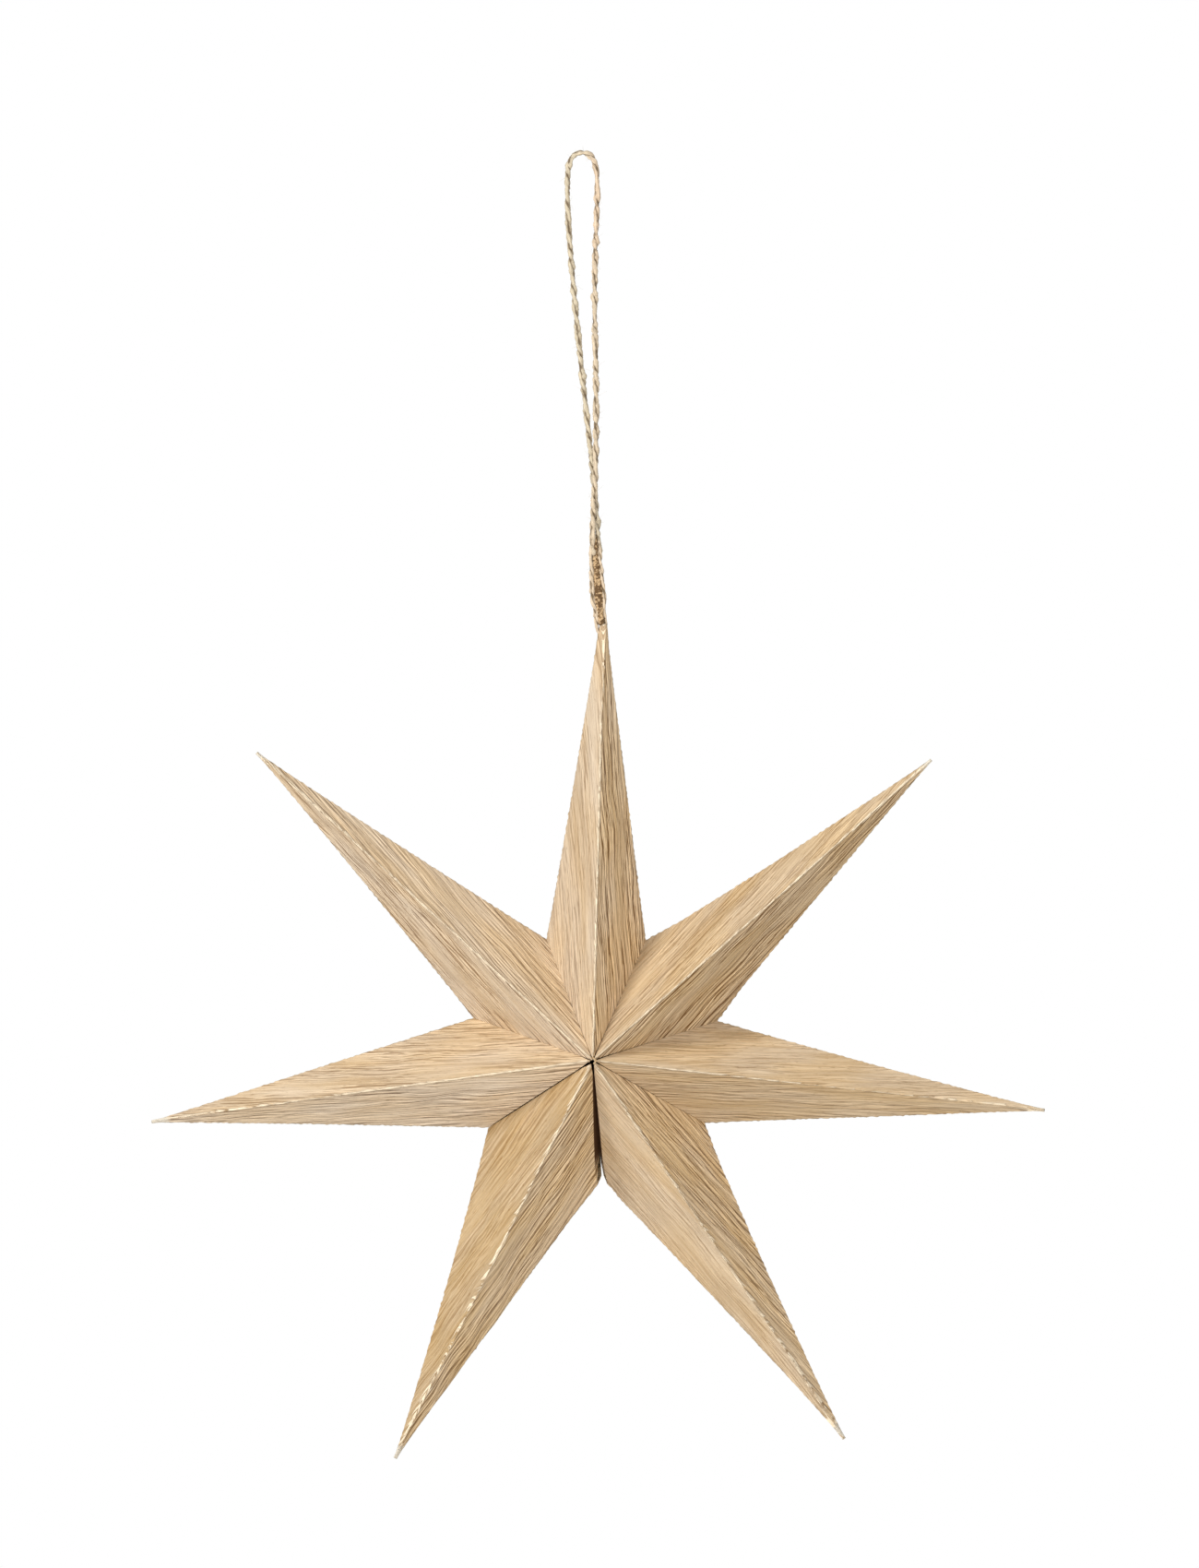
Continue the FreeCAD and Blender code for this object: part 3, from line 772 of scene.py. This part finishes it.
def oak_veneer(card):
    """Oak veneer on card, sliced thin, glued and rolled: matt, warm, with a fibrous surface.

    The eye sees raised dashes and sunk lines along the grain about a millimetre apart, short dark
    pores, soft changes of tone, and pale torn fibres along the ridges. Painted into the colour are
    the light and shade of the dashes' flanks and of each face, small shadows beside the torn fibres,
    and shade along the side edges and in the slit.
    """
    material, tree = new_material("oak veneer")
    sheet, ridge = (add(tree, "Attribute", attribute_name=name).outputs["Vector"]
                    for name in ("sheet", "ridge"))
    edge, centre, warm, light, marks, worn, bare, lit, dusk = (
        add(tree, "Attribute", attribute_name=name).outputs["Fac"] for name in
        ("edge_off", "centre_off", "warm", "light", "marks", "worn", "bare", "lit", "dusk"))

    # The grain wavers by about 1.5 mm across over 30 mm
    drift = add(tree, "VectorMath", sheet, (0.03, 0.10, 1.0), operation="MULTIPLY")
    sway = add(tree, "TexNoise", sockets={"Vector": drift, "Scale": 1.0, "Detail": 1.0})
    shift = add(tree, "VectorMath", sway.outputs["Color"], (0.0, 2.2, 0.0), operation="MULTIPLY")
    wood = add(tree, "VectorMath", sheet, shift, operation="ADD")

    # Relief marks in clusters, whose flanks are painted lit and shaded, soft long lines, bands,
    # patches and pores
    lean = add(tree, "CombineXYZ", sockets={"Y": lit})      # across the grain, to the light
    clusters = grain_marks(tree, wood, (30, 6.0), 1.0, (0.34, 0.56), (0.30, 1.0))
    clusters = add(tree, "Math", clusters, marks, operation="MULTIPLY")
    stroke_flank_light = painted_flank_light(tree, wood, lean, 0.20, STROKE, STROKE_PLACE)
    thread_flank_light = painted_flank_light(tree, wood, lean, 0.13, (7, 0.50), (8.1, 2.2, 0.0))
    lines = grain_marks(tree, wood, (30, 1.0), 2.0, (0.38, 0.64), shift=(1.7, 9.2, 0.0))
    bands = grain_marks(tree, wood, (70, 6.0), 2.0, (0.34, 0.66))
    warm_patch = grain_marks(tree, wood, (24, 8.0), 1.0, (0.34, 0.66), (-0.28, 0.28),
                             (5.5, 1.1, 2.0))
    light_patch = grain_marks(tree, wood, (20, 6.0), 1.5, (0.34, 0.66), (0.96, 1.04),
                              (2.5, 6.1, 5.0))
    pores = grain_marks(tree, wood, (1.7, 0.42), 0.0, (0.70, 0.80), shift=(0.5, 3.3, 7.0))

    # Painted light and shade: the flanks of the marks that face the light, and those that are turned
    # from it
    flanks = []
    for sign in (1, -1):
        pair = [add(tree, "MapRange", rise, sign * start, sign * 0.34, 0.0, top, **SMOOTH)
                for rise, start, top in ((stroke_flank_light, 0.07, 1.0), (thread_flank_light, 0.08, 0.7))]
        either = add(tree, "Math", *pair, operation="MAXIMUM")
        flanks.append(add(tree, "Math", either, clusters, operation="MULTIPLY"))
    painted_lit_flanks, painted_shaded_flanks = flanks

    # Early to late wood by band and line, painted light on lit flanks and tone, painted shade on
    # shaded flanks and pores, warmth
    ripe = add(tree, "Math", bands, 0.24, operation="MULTIPLY")
    ripe = add(tree, "Math", lines, 0.30, ripe, operation="MULTIPLY_ADD")
    tone = add(tree, "Mix", ripe, sockets={UNDER: card.light[:], OVER: card.dark[:]},
               data_type="RGBA")
    # Painted light: lit flanks brighten the colour, and each face is lightened or darkened by its
    # painted light
    painted_light_and_patches = add(tree, "Math", painted_lit_flanks, 0.24, 0.96, operation="MULTIPLY_ADD")
    for factor in (light_patch, light):
        painted_light_and_patches = add(tree, "Math", painted_light_and_patches, factor, operation="MULTIPLY")
    tone = add(tree, "VectorMath", tone, sockets={"Scale": painted_light_and_patches}, operation="SCALE")
    pores_and_painted_shade = add(tree, "Math", pores, 0.30, operation="MULTIPLY")
    pores_and_painted_shade = add(tree, "Math", painted_shaded_flanks, 0.66, pores_and_painted_shade, operation="MULTIPLY_ADD", use_clamp=True)
    tone = add(tree, "Mix", pores_and_painted_shade, sockets={UNDER: tone, OVER: card.pore_and_shade[:]}, data_type="RGBA")
    warmth = add(tree, "Math", warm, warm_patch, operation="ADD")
    warmth = add(tree, "MapRange", warmth, -1.0, 1.0, 0.72, 1.28)
    tone = add(tree, "HueSaturation", sockets={"Saturation": warmth, "Color": tone})

    # Torn fibres along the ridges, whole from 2.2 mm off the centre, with painted shadows beside
    # them
    part = add(tree, "SeparateXYZ", ridge).outputs
    seed = add(tree, "SeparateXYZ", sheet).outputs["Z"]
    torn, shadow = torn_fibres(tree, part["X"], part["Y"], part["Z"], seed)
    split = grain_marks(tree, wood, (3.0, 0.20), 2.0, (0.30, 0.55), (0.45, 1.0))
    clear = add(tree, "MapRange", centre, 0.4, 2.2, 0.0, 1.0, **SMOOTH)
    for factor in (split, clear):
        torn = add(tree, "Math", torn, factor, operation="MULTIPLY")
    shadow = add(tree, "Math", shadow, 0.42, operation="MULTIPLY")

    # Painted shade along the side edges: a thin grey-green line, in places dark, in places torn pale
    ragged = grain_marks(tree, wood, (3.2, 0.34), 2.0, (0.36, 0.66))
    edge_in = add(tree, "MapRange", edge, 0.08, 0.55, 1.0, 0.0, **SMOOTH)
    edge_level = add(tree, "MapRange", ragged, 0.0, 1.0, 0.85, 0.10)
    edge_shade_mask = add(tree, "Math", edge_in, edge_level, operation="MULTIPLY")
    scuffs = grain_marks(tree, sheet, (9.0, 9.0), 1.0, (0.56, 0.64), (0.0, 0.75))
    scuff_in = add(tree, "MapRange", edge, 0.05, 0.30, 1.0, 0.0, **SMOOTH)
    scuff_mask = add(tree, "Math", scuffs, scuff_in, operation="MULTIPLY")

    # Bare card at the worn tips and on the inner side, and painted shade in the slit
    frayed = add(tree, "MapRange", ragged, 0.0, 1.0, -0.9, 0.9)
    worn_in = add(tree, "Math", worn, frayed, operation="ADD")
    worn_mask = add(tree, "MapRange", worn_in, -0.1, 0.5, 0.0, 0.9, **SMOOTH)
    # Over the tone: painted shadow beside torn fibres, torn fibres, painted edge shade, scuffs, worn
    # tips, inner side, painted slit shade
    for mask, over in ((shadow, card.pore_and_shade), (torn, card.broken), (edge_shade_mask, card.rim),
                       (scuff_mask, card.pore_and_shade), (worn_mask, card.core), (bare, card.inside),
                       (dusk, card.dusk)):
        tone = add(tree, "Mix", mask, sockets={UNDER: tone, OVER: over[:]}, data_type="RGBA")

    # Relief: strokes and torn fibres stand up, lines are sunk
    height = grain_marks(tree, wood, STROKE, 2.0, (0.25, 0.75), shift=STROKE_PLACE)
    relief = add(tree, "Math", lines, -0.30, height, operation="MULTIPLY_ADD")
    relief = add(tree, "Math", torn, 0.9, relief, operation="MULTIPLY_ADD")
    bump = add(tree, "Bump", sockets={"Strength": 1.0, "Distance": 0.15 * MM, "Height": relief})
    surface = add(tree, "BsdfPrincipled", sockets={
        "Base Color": tone, "Roughness": 0.72, "IOR": 1.45, "Specular IOR Level": 0.35,
        "Normal": bump})
    add(tree, "OutputMaterial", surface)
    return material


class STAR_OT_points(bpy.types.Operator):
    """Fold the seven sheets of oak-veneered card, each with its tabs and back flap"""

    bl_idname = "star.points"
    bl_label = "Fold the points"

    def execute(self, context):
        card = context.scene.star_card
        veneer = oak_veneer(card)
        for seed, (node, point) in enumerate(read_points().items(), start=3):
            shape = FoldedSheet(node, point, card, seed).mesh()
            piece = new_piece(f"{node}_sheet", *shape, "oak_card", veneer)
            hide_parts(node)
        return {"FINISHED"}


def nickel_plate():
    """Nickel plating over a pressed magnet: bright, slightly yellow grey, with fine scratches."""
    material, tree = new_material("nickel plating")
    place = add(tree, "TexCoord").outputs["Object"]
    scratch = add(tree, "TexNoise", sockets={"Vector": place, "Scale": 1 / (0.4 * MM),
                                             "Detail": 3.0})
    gloss = add(tree, "MapRange", scratch, 0.3, 0.7, 0.22, 0.38)
    bump = add(tree, "Bump", sockets={"Strength": 0.3, "Distance": 0.01 * MM, "Height": scratch})
    surface = add(tree, "BsdfPrincipled", sockets={
        "Base Color": linear("B9B4A8"), "Metallic": 1.0, "Roughness": gloss, "Normal": bump})
    add(tree, "OutputMaterial", surface)
    return material


class STAR_OT_magnets(bpy.types.Operator):
    """Plate the two closure magnets behind the slit"""

    bl_idname = "star.magnets"
    bl_label = "Plate the magnets"

    def execute(self, context):
        plating = nickel_plate()
        for node in ("closure_magnet_left", "closure_magnet_right"):
            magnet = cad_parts[node]
            magnet.data.materials.clear()
            magnet.data.materials.append(plating)
        return {"FINISHED"}


def route_points(route):
    """Points along the smooth line of a route: a spline of order three through a bare curve."""
    curve = bpy.data.curves.new("route", "CURVE")
    curve.dimensions = "3D"
    curve.resolution_u = 24
    spline = curve.splines.new("NURBS")
    spline.points.add(len(route) - 1)
    places = np.column_stack([np.array(route) * MM, np.ones(len(route))])
    spline.points.foreach_set("co", places.ravel())
    spline.order_u = 3
    spline.use_endpoint_u = True
    carrier = bpy.data.objects.new("route", curve)
    mesh = bpy.data.meshes.new_from_object(carrier)
    line = np.zeros(len(mesh.vertices) * 3)
    mesh.vertices.foreach_get("co", line)
    bpy.data.meshes.remove(mesh)
    bpy.data.objects.remove(carrier)
    bpy.data.curves.remove(curve)
    return line.reshape(-1, 3)


def run_of(line):
    """The distance of each point of a line from its start."""
    return np.concatenate([[0], np.cumsum(np.linalg.norm(np.diff(line, axis=0), axis=1))])


def even(line, step):
    """The same line with its points a step apart, and the distance of each from its start."""
    run = run_of(line)
    at = np.linspace(0, run[-1], max(int(run[-1] / step), 2) + 1)
    return np.stack([np.interp(at, run, line[:, k]) for k in range(3)], 1), at


def axes_along(line):
    """At each point of a line, two unit directions across it, the first near +Y, and its own."""
    back = np.array([0.0, 1.0, 0.0])
    tangent = unit(np.gradient(line, axis=0))
    side = unit(back - (tangent * back).sum(-1, keepdims=True) * tangent)
    return side, np.cross(tangent, side), tangent


def tube(line, radius, sides):
    """Points and faces of a tube: a circle of varying radius carried along a line, ends closed.

    Returned beside them are the distance along the line and the angle round it of every point.
    """
    side, other, _ = axes_along(line)
    turn = np.tile(np.linspace(0, 2 * np.pi, sides, endpoint=False), (len(line), 1))
    points = line[:, None, :] + radius[:, None, None] * (
        np.cos(turn)[..., None] * side[:, None, :] + np.sin(turn)[..., None] * other[:, None, :])
    along = np.repeat(run_of(line), sides)
    faces = grid_faces(len(line), sides, closed=True, flip=True).tolist()
    count = len(line) * sides
    ends = [list(range(sides)), list(range(count - 1, count - sides - 1, -1))]
    return points.reshape(-1, 3), faces + ends, along, turn.ravel()


def join(parts):
    """One list of points and faces from several tubes, with their attributes end to end."""
    points, faces, layers, start = [], [], {}, 0
    for part_points, part_faces, attributes in parts:
        points.append(part_points)
        faces += [[corner + start for corner in face] for face in part_faces]
        for key, values in attributes.items():
            layers.setdefault(key, []).append(values)
        start += len(part_points)
    return np.concatenate(points), faces, {k: np.concatenate(v) for k, v in layers.items()}


def plied(line, diameter, twine, seed, tint):
    """Two-ply twine along a line: each ply's middle circles the line once in a lay length.

    The plies lean the way of the letter S. Their thickness and their distance from the line waver
    by smooth noise, as hand-spun fibre does. The tint is the share of the tan fibre's colour.
    """
    rng = np.random.default_rng(seed)
    line, run = even(line, TWINE_STEP)
    side, other, _ = axes_along(line)
    phase = 2 * np.pi * run / twine.pitch + 0.5 * waver(run, 16 * MM, rng)
    thickness = diameter / 2 * (1 + 0.10 * waver(run, 7 * MM, rng))
    tint = np.repeat(np.broadcast_to(tint, len(run)), PLY_SIDES)
    parts = []
    for ply in (0, 1):
        turn = (phase + np.pi * ply)[:, None]
        radius = twine.ply * thickness * (1 + 0.10 * waver(run, 2.6 * MM, rng))
        out = (1 - twine.ply) * thickness * (1 + 0.08 * waver(run, 3.5 * MM, rng))
        middle = line + out[:, None] * (np.cos(turn) * side - np.sin(turn) * other)
        points, faces, along, angle = tube(middle, radius, PLY_SIDES)
        lumps = waver(along * 0.35 + angle * 0.22 * MM, 0.5 * MM, rng)
        centre = np.repeat(middle, PLY_SIDES, 0)
        points = centre + (points - centre) * (1 + 0.07 * lumps)[:, None]
        depth = np.linalg.norm(points - np.repeat(line, PLY_SIDES, 0), axis=1) / (diameter / 2)
        round_it = angle * twine.ply * diameter / 2 / MM
        strand = np.stack([np.repeat(run, PLY_SIDES) / MM, round_it,
                           np.full(len(angle), seed * 7.0 + ply * 3.0)], -1)
        parts.append((points, faces, {"strand": strand, "depth": depth, "tint": tint}))
    return parts


def plied_legs(legs, widths, twine, first_seed):
    """Short legs of twine along their routes."""
    parts = []
    for seed, (leg, width) in enumerate(zip(legs, widths), start=first_seed):
        parts += plied(route_points(leg), width, twine, seed, TAN_SHARE)
    return parts


def hairs_along(line, count, longest, spread, seed):
    """Loose fibres: thin tubes of three sides that leave the twine's surface and bend along it.

    A place on a fibre is its root, plus a share of its length outwards and along the line, plus
    the square of that share of a random curl.
    """
    rng = np.random.default_rng(seed)
    at = rng.integers(2, len(line) - 3, count)
    side, other, tangent = axes_along(line)
    turn = rng.uniform(0, 2 * np.pi, count)[:, None]
    out = np.cos(turn) * side[at] + np.sin(turn) * other[at]
    sense = rng.choice([-1, 1], count)[:, None]
    length = (longest * rng.uniform(0.15, 1.0, count) ** 1.6)[:, None]
    u = np.linspace(0, 1, HAIR_STEPS)[None, :, None]
    rise = rng.uniform(0.25, 0.9, (count, 1))
    curl = rng.normal(0, 0.35, (count, 3))
    root = line[at] + out * np.broadcast_to(spread, len(line))[at][:, None]
    straight = length * (rise * out + np.sqrt(1 - rise ** 2) * sense * tangent[at])
    path = root[:, None] + u * straight[:, None] + u ** 2 * (length * curl)[:, None]
    radius = HAIR_RADIUS * (1 - 0.75 * u)
    angles = 2 * np.pi / HAIR_SIDES * np.arange(HAIR_SIDES)[:, None]
    way = unit(path[:, -1] - path[:, 0])
    a = unit(np.cross(way, rng.normal(0, 1, (count, 3))))
    b = np.cross(way, a)
    circle = np.cos(angles) * a[:, None, :] + np.sin(angles) * b[:, None, :]
    points = path[:, :, None, :] + radius[..., None] * circle[:, None]
    each = HAIR_STEPS * HAIR_SIDES
    starts = np.arange(count) * each
    quads = grid_faces(HAIR_STEPS, HAIR_SIDES, closed=True)
    caps = np.array([[2, 1, 0], [each - 3, each - 2, each - 1]])
    faces = [face for shape in (quads, caps) for face in
             (shape[None] + starts[:, None, None]).reshape(-1, shape.shape[1]).tolist()]
    place = np.zeros((count * each, 3))
    place[:, 0] = np.repeat(rng.uniform(0, 90, count), each)
    tint = np.repeat(rng.uniform(0, 1, count), each)
    depth = np.ones(count * each)
    return points.reshape(-1, 3), faces, {"strand": place, "depth": depth, "tint": tint}


def knot_core():
    """The knot's matted core with short fibres: a tube of varying radius with smooth lumps."""
    rng = np.random.default_rng(40)
    table = np.array(KNOT_CORE)[::-1] * MM
    line, _ = even(table[::-1, :3], KNOT_STEP)
    radius = np.interp(line[:, 2], table[:, 2], table[:, 3])
    points, faces, along, angle = tube(line, radius, KNOT_SIDES)
    centre = np.repeat(line, KNOT_SIDES, 0)
    lumps = waver(along + 0.9 * MM * np.cos(angle), 1.1 * MM, rng) * 0.07
    lumps += waver(along * 0.8 + 0.7 * MM * np.sin(angle + 1), 0.6 * MM, rng) * 0.06
    points = centre + (points - centre) * (1 + lumps)[:, None]
    layers = {"strand": points / MM, "depth": 1 + lumps, "tint": np.ones(len(along))}
    hairs = hairs_along(line, KNOT_HAIRS, KNOT_HAIR_LENGTH, radius * 0.97, seed=44)
    return [(points, faces, layers), hairs]


def bast_twine(twine):
    """Two-ply bast fibre twine, spun and unbleached: dull, fibrous, with painted shade in its
    grooves.

    The eye sees pale glossy strips of fibre beside brown ones, running along each ply.
    """
    material, tree = new_material("bast fibre twine")
    strand = add(tree, "Attribute", attribute_name="strand").outputs["Vector"]
    depth, tint = (add(tree, "Attribute", attribute_name=name).outputs["Fac"]
                   for name in ("depth", "tint"))
    # Strips of fibre 0.16 mm wide and 3 mm long, and clumps of fibre 0.6 mm across
    strips = add(tree, "VectorMath", strand, (1 / 3.0, 1 / 0.16, 1.0), operation="MULTIPLY")
    strips = add(tree, "TexNoise", sockets={"Vector": strips, "Scale": 1.0, "Detail": 3.0,
                                            "Roughness": 0.6})
    clumps = add(tree, "TexNoise", sockets={"Vector": strand, "Scale": 1.6, "Detail": 3.0})
    tone = add(tree, "Mix", tint, sockets={UNDER: twine.pale[:], OVER: twine.tan[:]},
               data_type="RGBA")
    level = add(tree, "MapRange", strips, 0.3, 0.66, 0.46, 1.14)
    tone = add(tree, "VectorMath", tone, sockets={"Scale": level}, operation="SCALE")
    # Painted shade where the surface lies deep between the plies, then dark specks
    groove_shade = add(tree, "MapRange", depth, 0.50, 0.90, 0.95, 0.0, **SMOOTH)
    specks = add(tree, "MapRange", clumps, 0.54, 0.72, 0.0, 0.30, **SMOOTH)
    for mask in (groove_shade, specks):
        tone = add(tree, "Mix", mask, sockets={UNDER: tone, OVER: twine.groove_shade[:]},
                   data_type="RGBA")
    bump = add(tree, "Bump", sockets={"Strength": 1.0, "Distance": 0.10 * MM, "Height": strips})
    surface = add(tree, "BsdfPrincipled", sockets={
        "Base Color": tone, "Roughness": 0.66, "IOR": 1.5, "Specular IOR Level": 0.4,
        "Sheen Weight": 0.15, "Sheen Roughness": 0.5, "Normal": bump})
    add(tree, "OutputMaterial", surface)
    return material


def matted_bast(twine):
    """Bast fibre rubbed and matted at a knot: dull and rough, with painted shade in the gaps between
    the fibres.

    The eye sees brown specks about half a millimetre across on pale fibre.
    """
    material, tree = new_material("matted bast fibre")
    place = add(tree, "Attribute", attribute_name="strand").outputs["Vector"]
    # Specks 0.67 mm across, the smallest a third of that, and patches 2.2 mm across
    specks = add(tree, "TexNoise", sockets={"Vector": place, "Scale": 1.5, "Detail": 3.0,
                                            "Roughness": 0.6})
    patches = add(tree, "TexNoise", sockets={"Vector": place, "Scale": 0.45, "Detail": 1.0})
    # Painted shade: the gaps between the fibres darkened
    gaps = add(tree, "Math", patches, 0.3, specks, operation="MULTIPLY_ADD")
    dark = add(tree, "MapRange", gaps, 0.57, 0.69, 0.0, 0.92, **SMOOTH)
    tone = add(tree, "Mix", dark, sockets={UNDER: twine.core[:], OVER: twine.gap_shade[:]},
               data_type="RGBA")
    bump = add(tree, "Bump", sockets={"Strength": 1.0, "Distance": 0.25 * MM, "Height": specks},
               invert=True)
    surface = add(tree, "BsdfPrincipled", sockets={
        "Base Color": tone, "Roughness": 0.8, "IOR": 1.5, "Specular IOR Level": 0.25,
        "Normal": bump})
    add(tree, "OutputMaterial", surface)
    return material


class STAR_OT_twine(bpy.types.Operator):
    """Twist the twine loop, wrap its knot and lead a strand through the tip"""

    bl_idname = "star.twine"
    bl_label = "Twist the twine"

    def execute(self, context):
        twine = context.scene.star_twine
        fibre = bast_twine(twine)
        matted = matted_bast(twine)
        route = route_points(CORD_ROUTE)
        line, run = even(route, TWINE_STEP)
        tint = np.interp(run / MM - LEG_LENGTH, [-2, 6, 20, 34], [0.05, 1.0, 0.9, 0.45])
        loop = plied(route, CORD_DIAMETER, twine, seed=21, tint=tint)
        cord = new_piece("twine_loop", *join(loop), "twine", fibre)
        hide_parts("hanging_cord")

        knot = new_piece("twine_knot", *join(knot_core()), "twine", matted)
        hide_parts("cord_knot")
        legs = plied_legs(KNOT_LEGS, KNOT_LEG_WIDTHS, twine, first_seed=51)
        wound = new_piece("twine_knot_legs", *join(legs), "twine", fibre)
        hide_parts("cord_knot")
        legs = plied_legs(TIE_LEGS, TIE_LEG_WIDTHS, twine, first_seed=61)
        tie = new_piece("twine_tie", *join(legs), "twine", fibre)
        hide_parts("tip_tie")
        hairs = hairs_along(line, twine.hairs, twine.hair_length, HAIR_ROOT, seed=33)
        fuzz = new_piece("twine_hairs", *hairs, "twine", fibre)
        return {"FINISHED"}


def pale_floor(stage):
    """Matt painted board: pale, even, with a faint roller texture 2.5 mm across."""
    material, tree = new_material("matt board")
    place = add(tree, "TexCoord").outputs["Object"]
    texture = add(tree, "TexNoise", sockets={"Vector": place, "Scale": 400.0, "Detail": 2.0})
    bump = add(tree, "Bump", sockets={"Strength": 0.1, "Distance": 0.2 * MM, "Height": texture})
    surface = add(tree, "BsdfPrincipled", sockets={
        "Base Color": stage.floor[:], "Roughness": 0.9, "Normal": bump})
    add(tree, "OutputMaterial", surface)
    return material


def white_room(stage):
    """World that the camera and reflections see white, and that lights evenly at its own level."""
    world = bpy.data.worlds.new("white room")
    bpy.context.scene.world = world
    world.use_nodes = True
    tree = world.node_tree
    tree.nodes.clear()
    ray = add(tree, "LightPath").outputs
    seen = ray["Is Camera Ray"]
    for other in ("Is Glossy Ray", "Is Transmission Ray"):
        seen = add(tree, "Math", seen, ray[other], operation="MAXIMUM")
    level = stage.ambient
    lit = add(tree, "Mix", seen, sockets={UNDER: (level, level, level, 1.0),
                                          OVER: stage.backdrop[:]}, data_type="RGBA")
    add(tree, "OutputWorld", add(tree, "Background", lit, 1.0))


def placed(name, data, place):
    """An object of that name in the scene, at its place."""
    holder = bpy.data.objects.new(name, data)
    bpy.context.scene.collection.objects.link(holder)
    holder.location = place
    return holder


class STAR_OT_stage(bpy.types.Operator):
    """Set up the white room, the pale floor, the lamps and the photograph's camera"""

    bl_idname = "star.stage"
    bl_label = "Set the stage"

    def execute(self, context):
        scene = context.scene
        stage = scene.star_stage
        white_room(stage)
        turn = np.linspace(0, 2 * np.pi, 64, endpoint=False)
        disc = np.stack([FLOOR_RADIUS * np.cos(turn), FLOOR_RADIUS * np.sin(turn),
                         np.full(64, stage.floor_drop)], -1)
        mesh = bpy.data.meshes.new("floor")
        mesh.from_pydata(disc.tolist(), [], [list(range(64))])
        mesh.materials.append(pale_floor(stage))
        floor = placed("floor", mesh, (0, 0, 0))

        for name, (place, size) in LAMPS.items():
            lamp = bpy.data.lights.new(name, "AREA")
            lamp.shape = "DISK"
            lamp.size = size
            lamp.energy = getattr(stage, name)
            aim = Vector(LAMP_AIM) - Vector(place)
            placed(name, lamp, place).rotation_euler = aim.to_track_quat("-Z", "Y").to_euler()

        view = bpy.data.cameras.new("camera")
        view.sensor_fit = "VERTICAL"
        view.sensor_height = SENSOR
        view.lens = SENSOR * VIEW_DISTANCE / VIEW_HEIGHT
        scene.camera = placed("camera", view, (VIEW_X, -VIEW_DISTANCE, VIEW_Z))
        scene.camera.rotation_euler = (math.pi / 2, 0, 0)
        scene.view_settings.view_transform = "Standard"
        return {"FINISHED"}


class STAR_PT_panel(bpy.types.Panel):
    """The star's steps and settings in the 3D view's sidebar"""

    bl_label = "Folded oak star"
    bl_idname = "STAR_PT_panel"
    bl_space_type = "VIEW_3D"
    bl_region_type = "UI"
    bl_category = "Star"

    def draw(self, context):
        for operator in OPERATORS:
            self.layout.operator(operator.bl_idname)
        for key in SETTINGS:
            group = getattr(context.scene, key)
            box = self.layout.box()
            box.label(text=key.removeprefix("star_").capitalize())
            for name in group.__annotations__:
                box.prop(group, name)


SETTINGS = {"star_card": StarCardSettings, "star_twine": StarTwineSettings,
            "star_stage": StarStageSettings}
OPERATORS = (STAR_OT_points, STAR_OT_magnets, STAR_OT_twine, STAR_OT_stage)
CLASSES = (*SETTINGS.values(), *OPERATORS, STAR_PT_panel)


def register():
    for each in CLASSES:
        bpy.utils.register_class(each)
    for key, group in SETTINGS.items():
        setattr(bpy.types.Scene, key, PointerProperty(type=group))


def unregister():
    for key in SETTINGS:
        delattr(bpy.types.Scene, key)
    for each in reversed(CLASSES):
        bpy.utils.unregister_class(each)


def main():
    register()
    for operator in OPERATORS:
        group, name = operator.bl_idname.split(".")
        getattr(getattr(bpy.ops, group), name)()


if __name__ == "__main__":
    main()
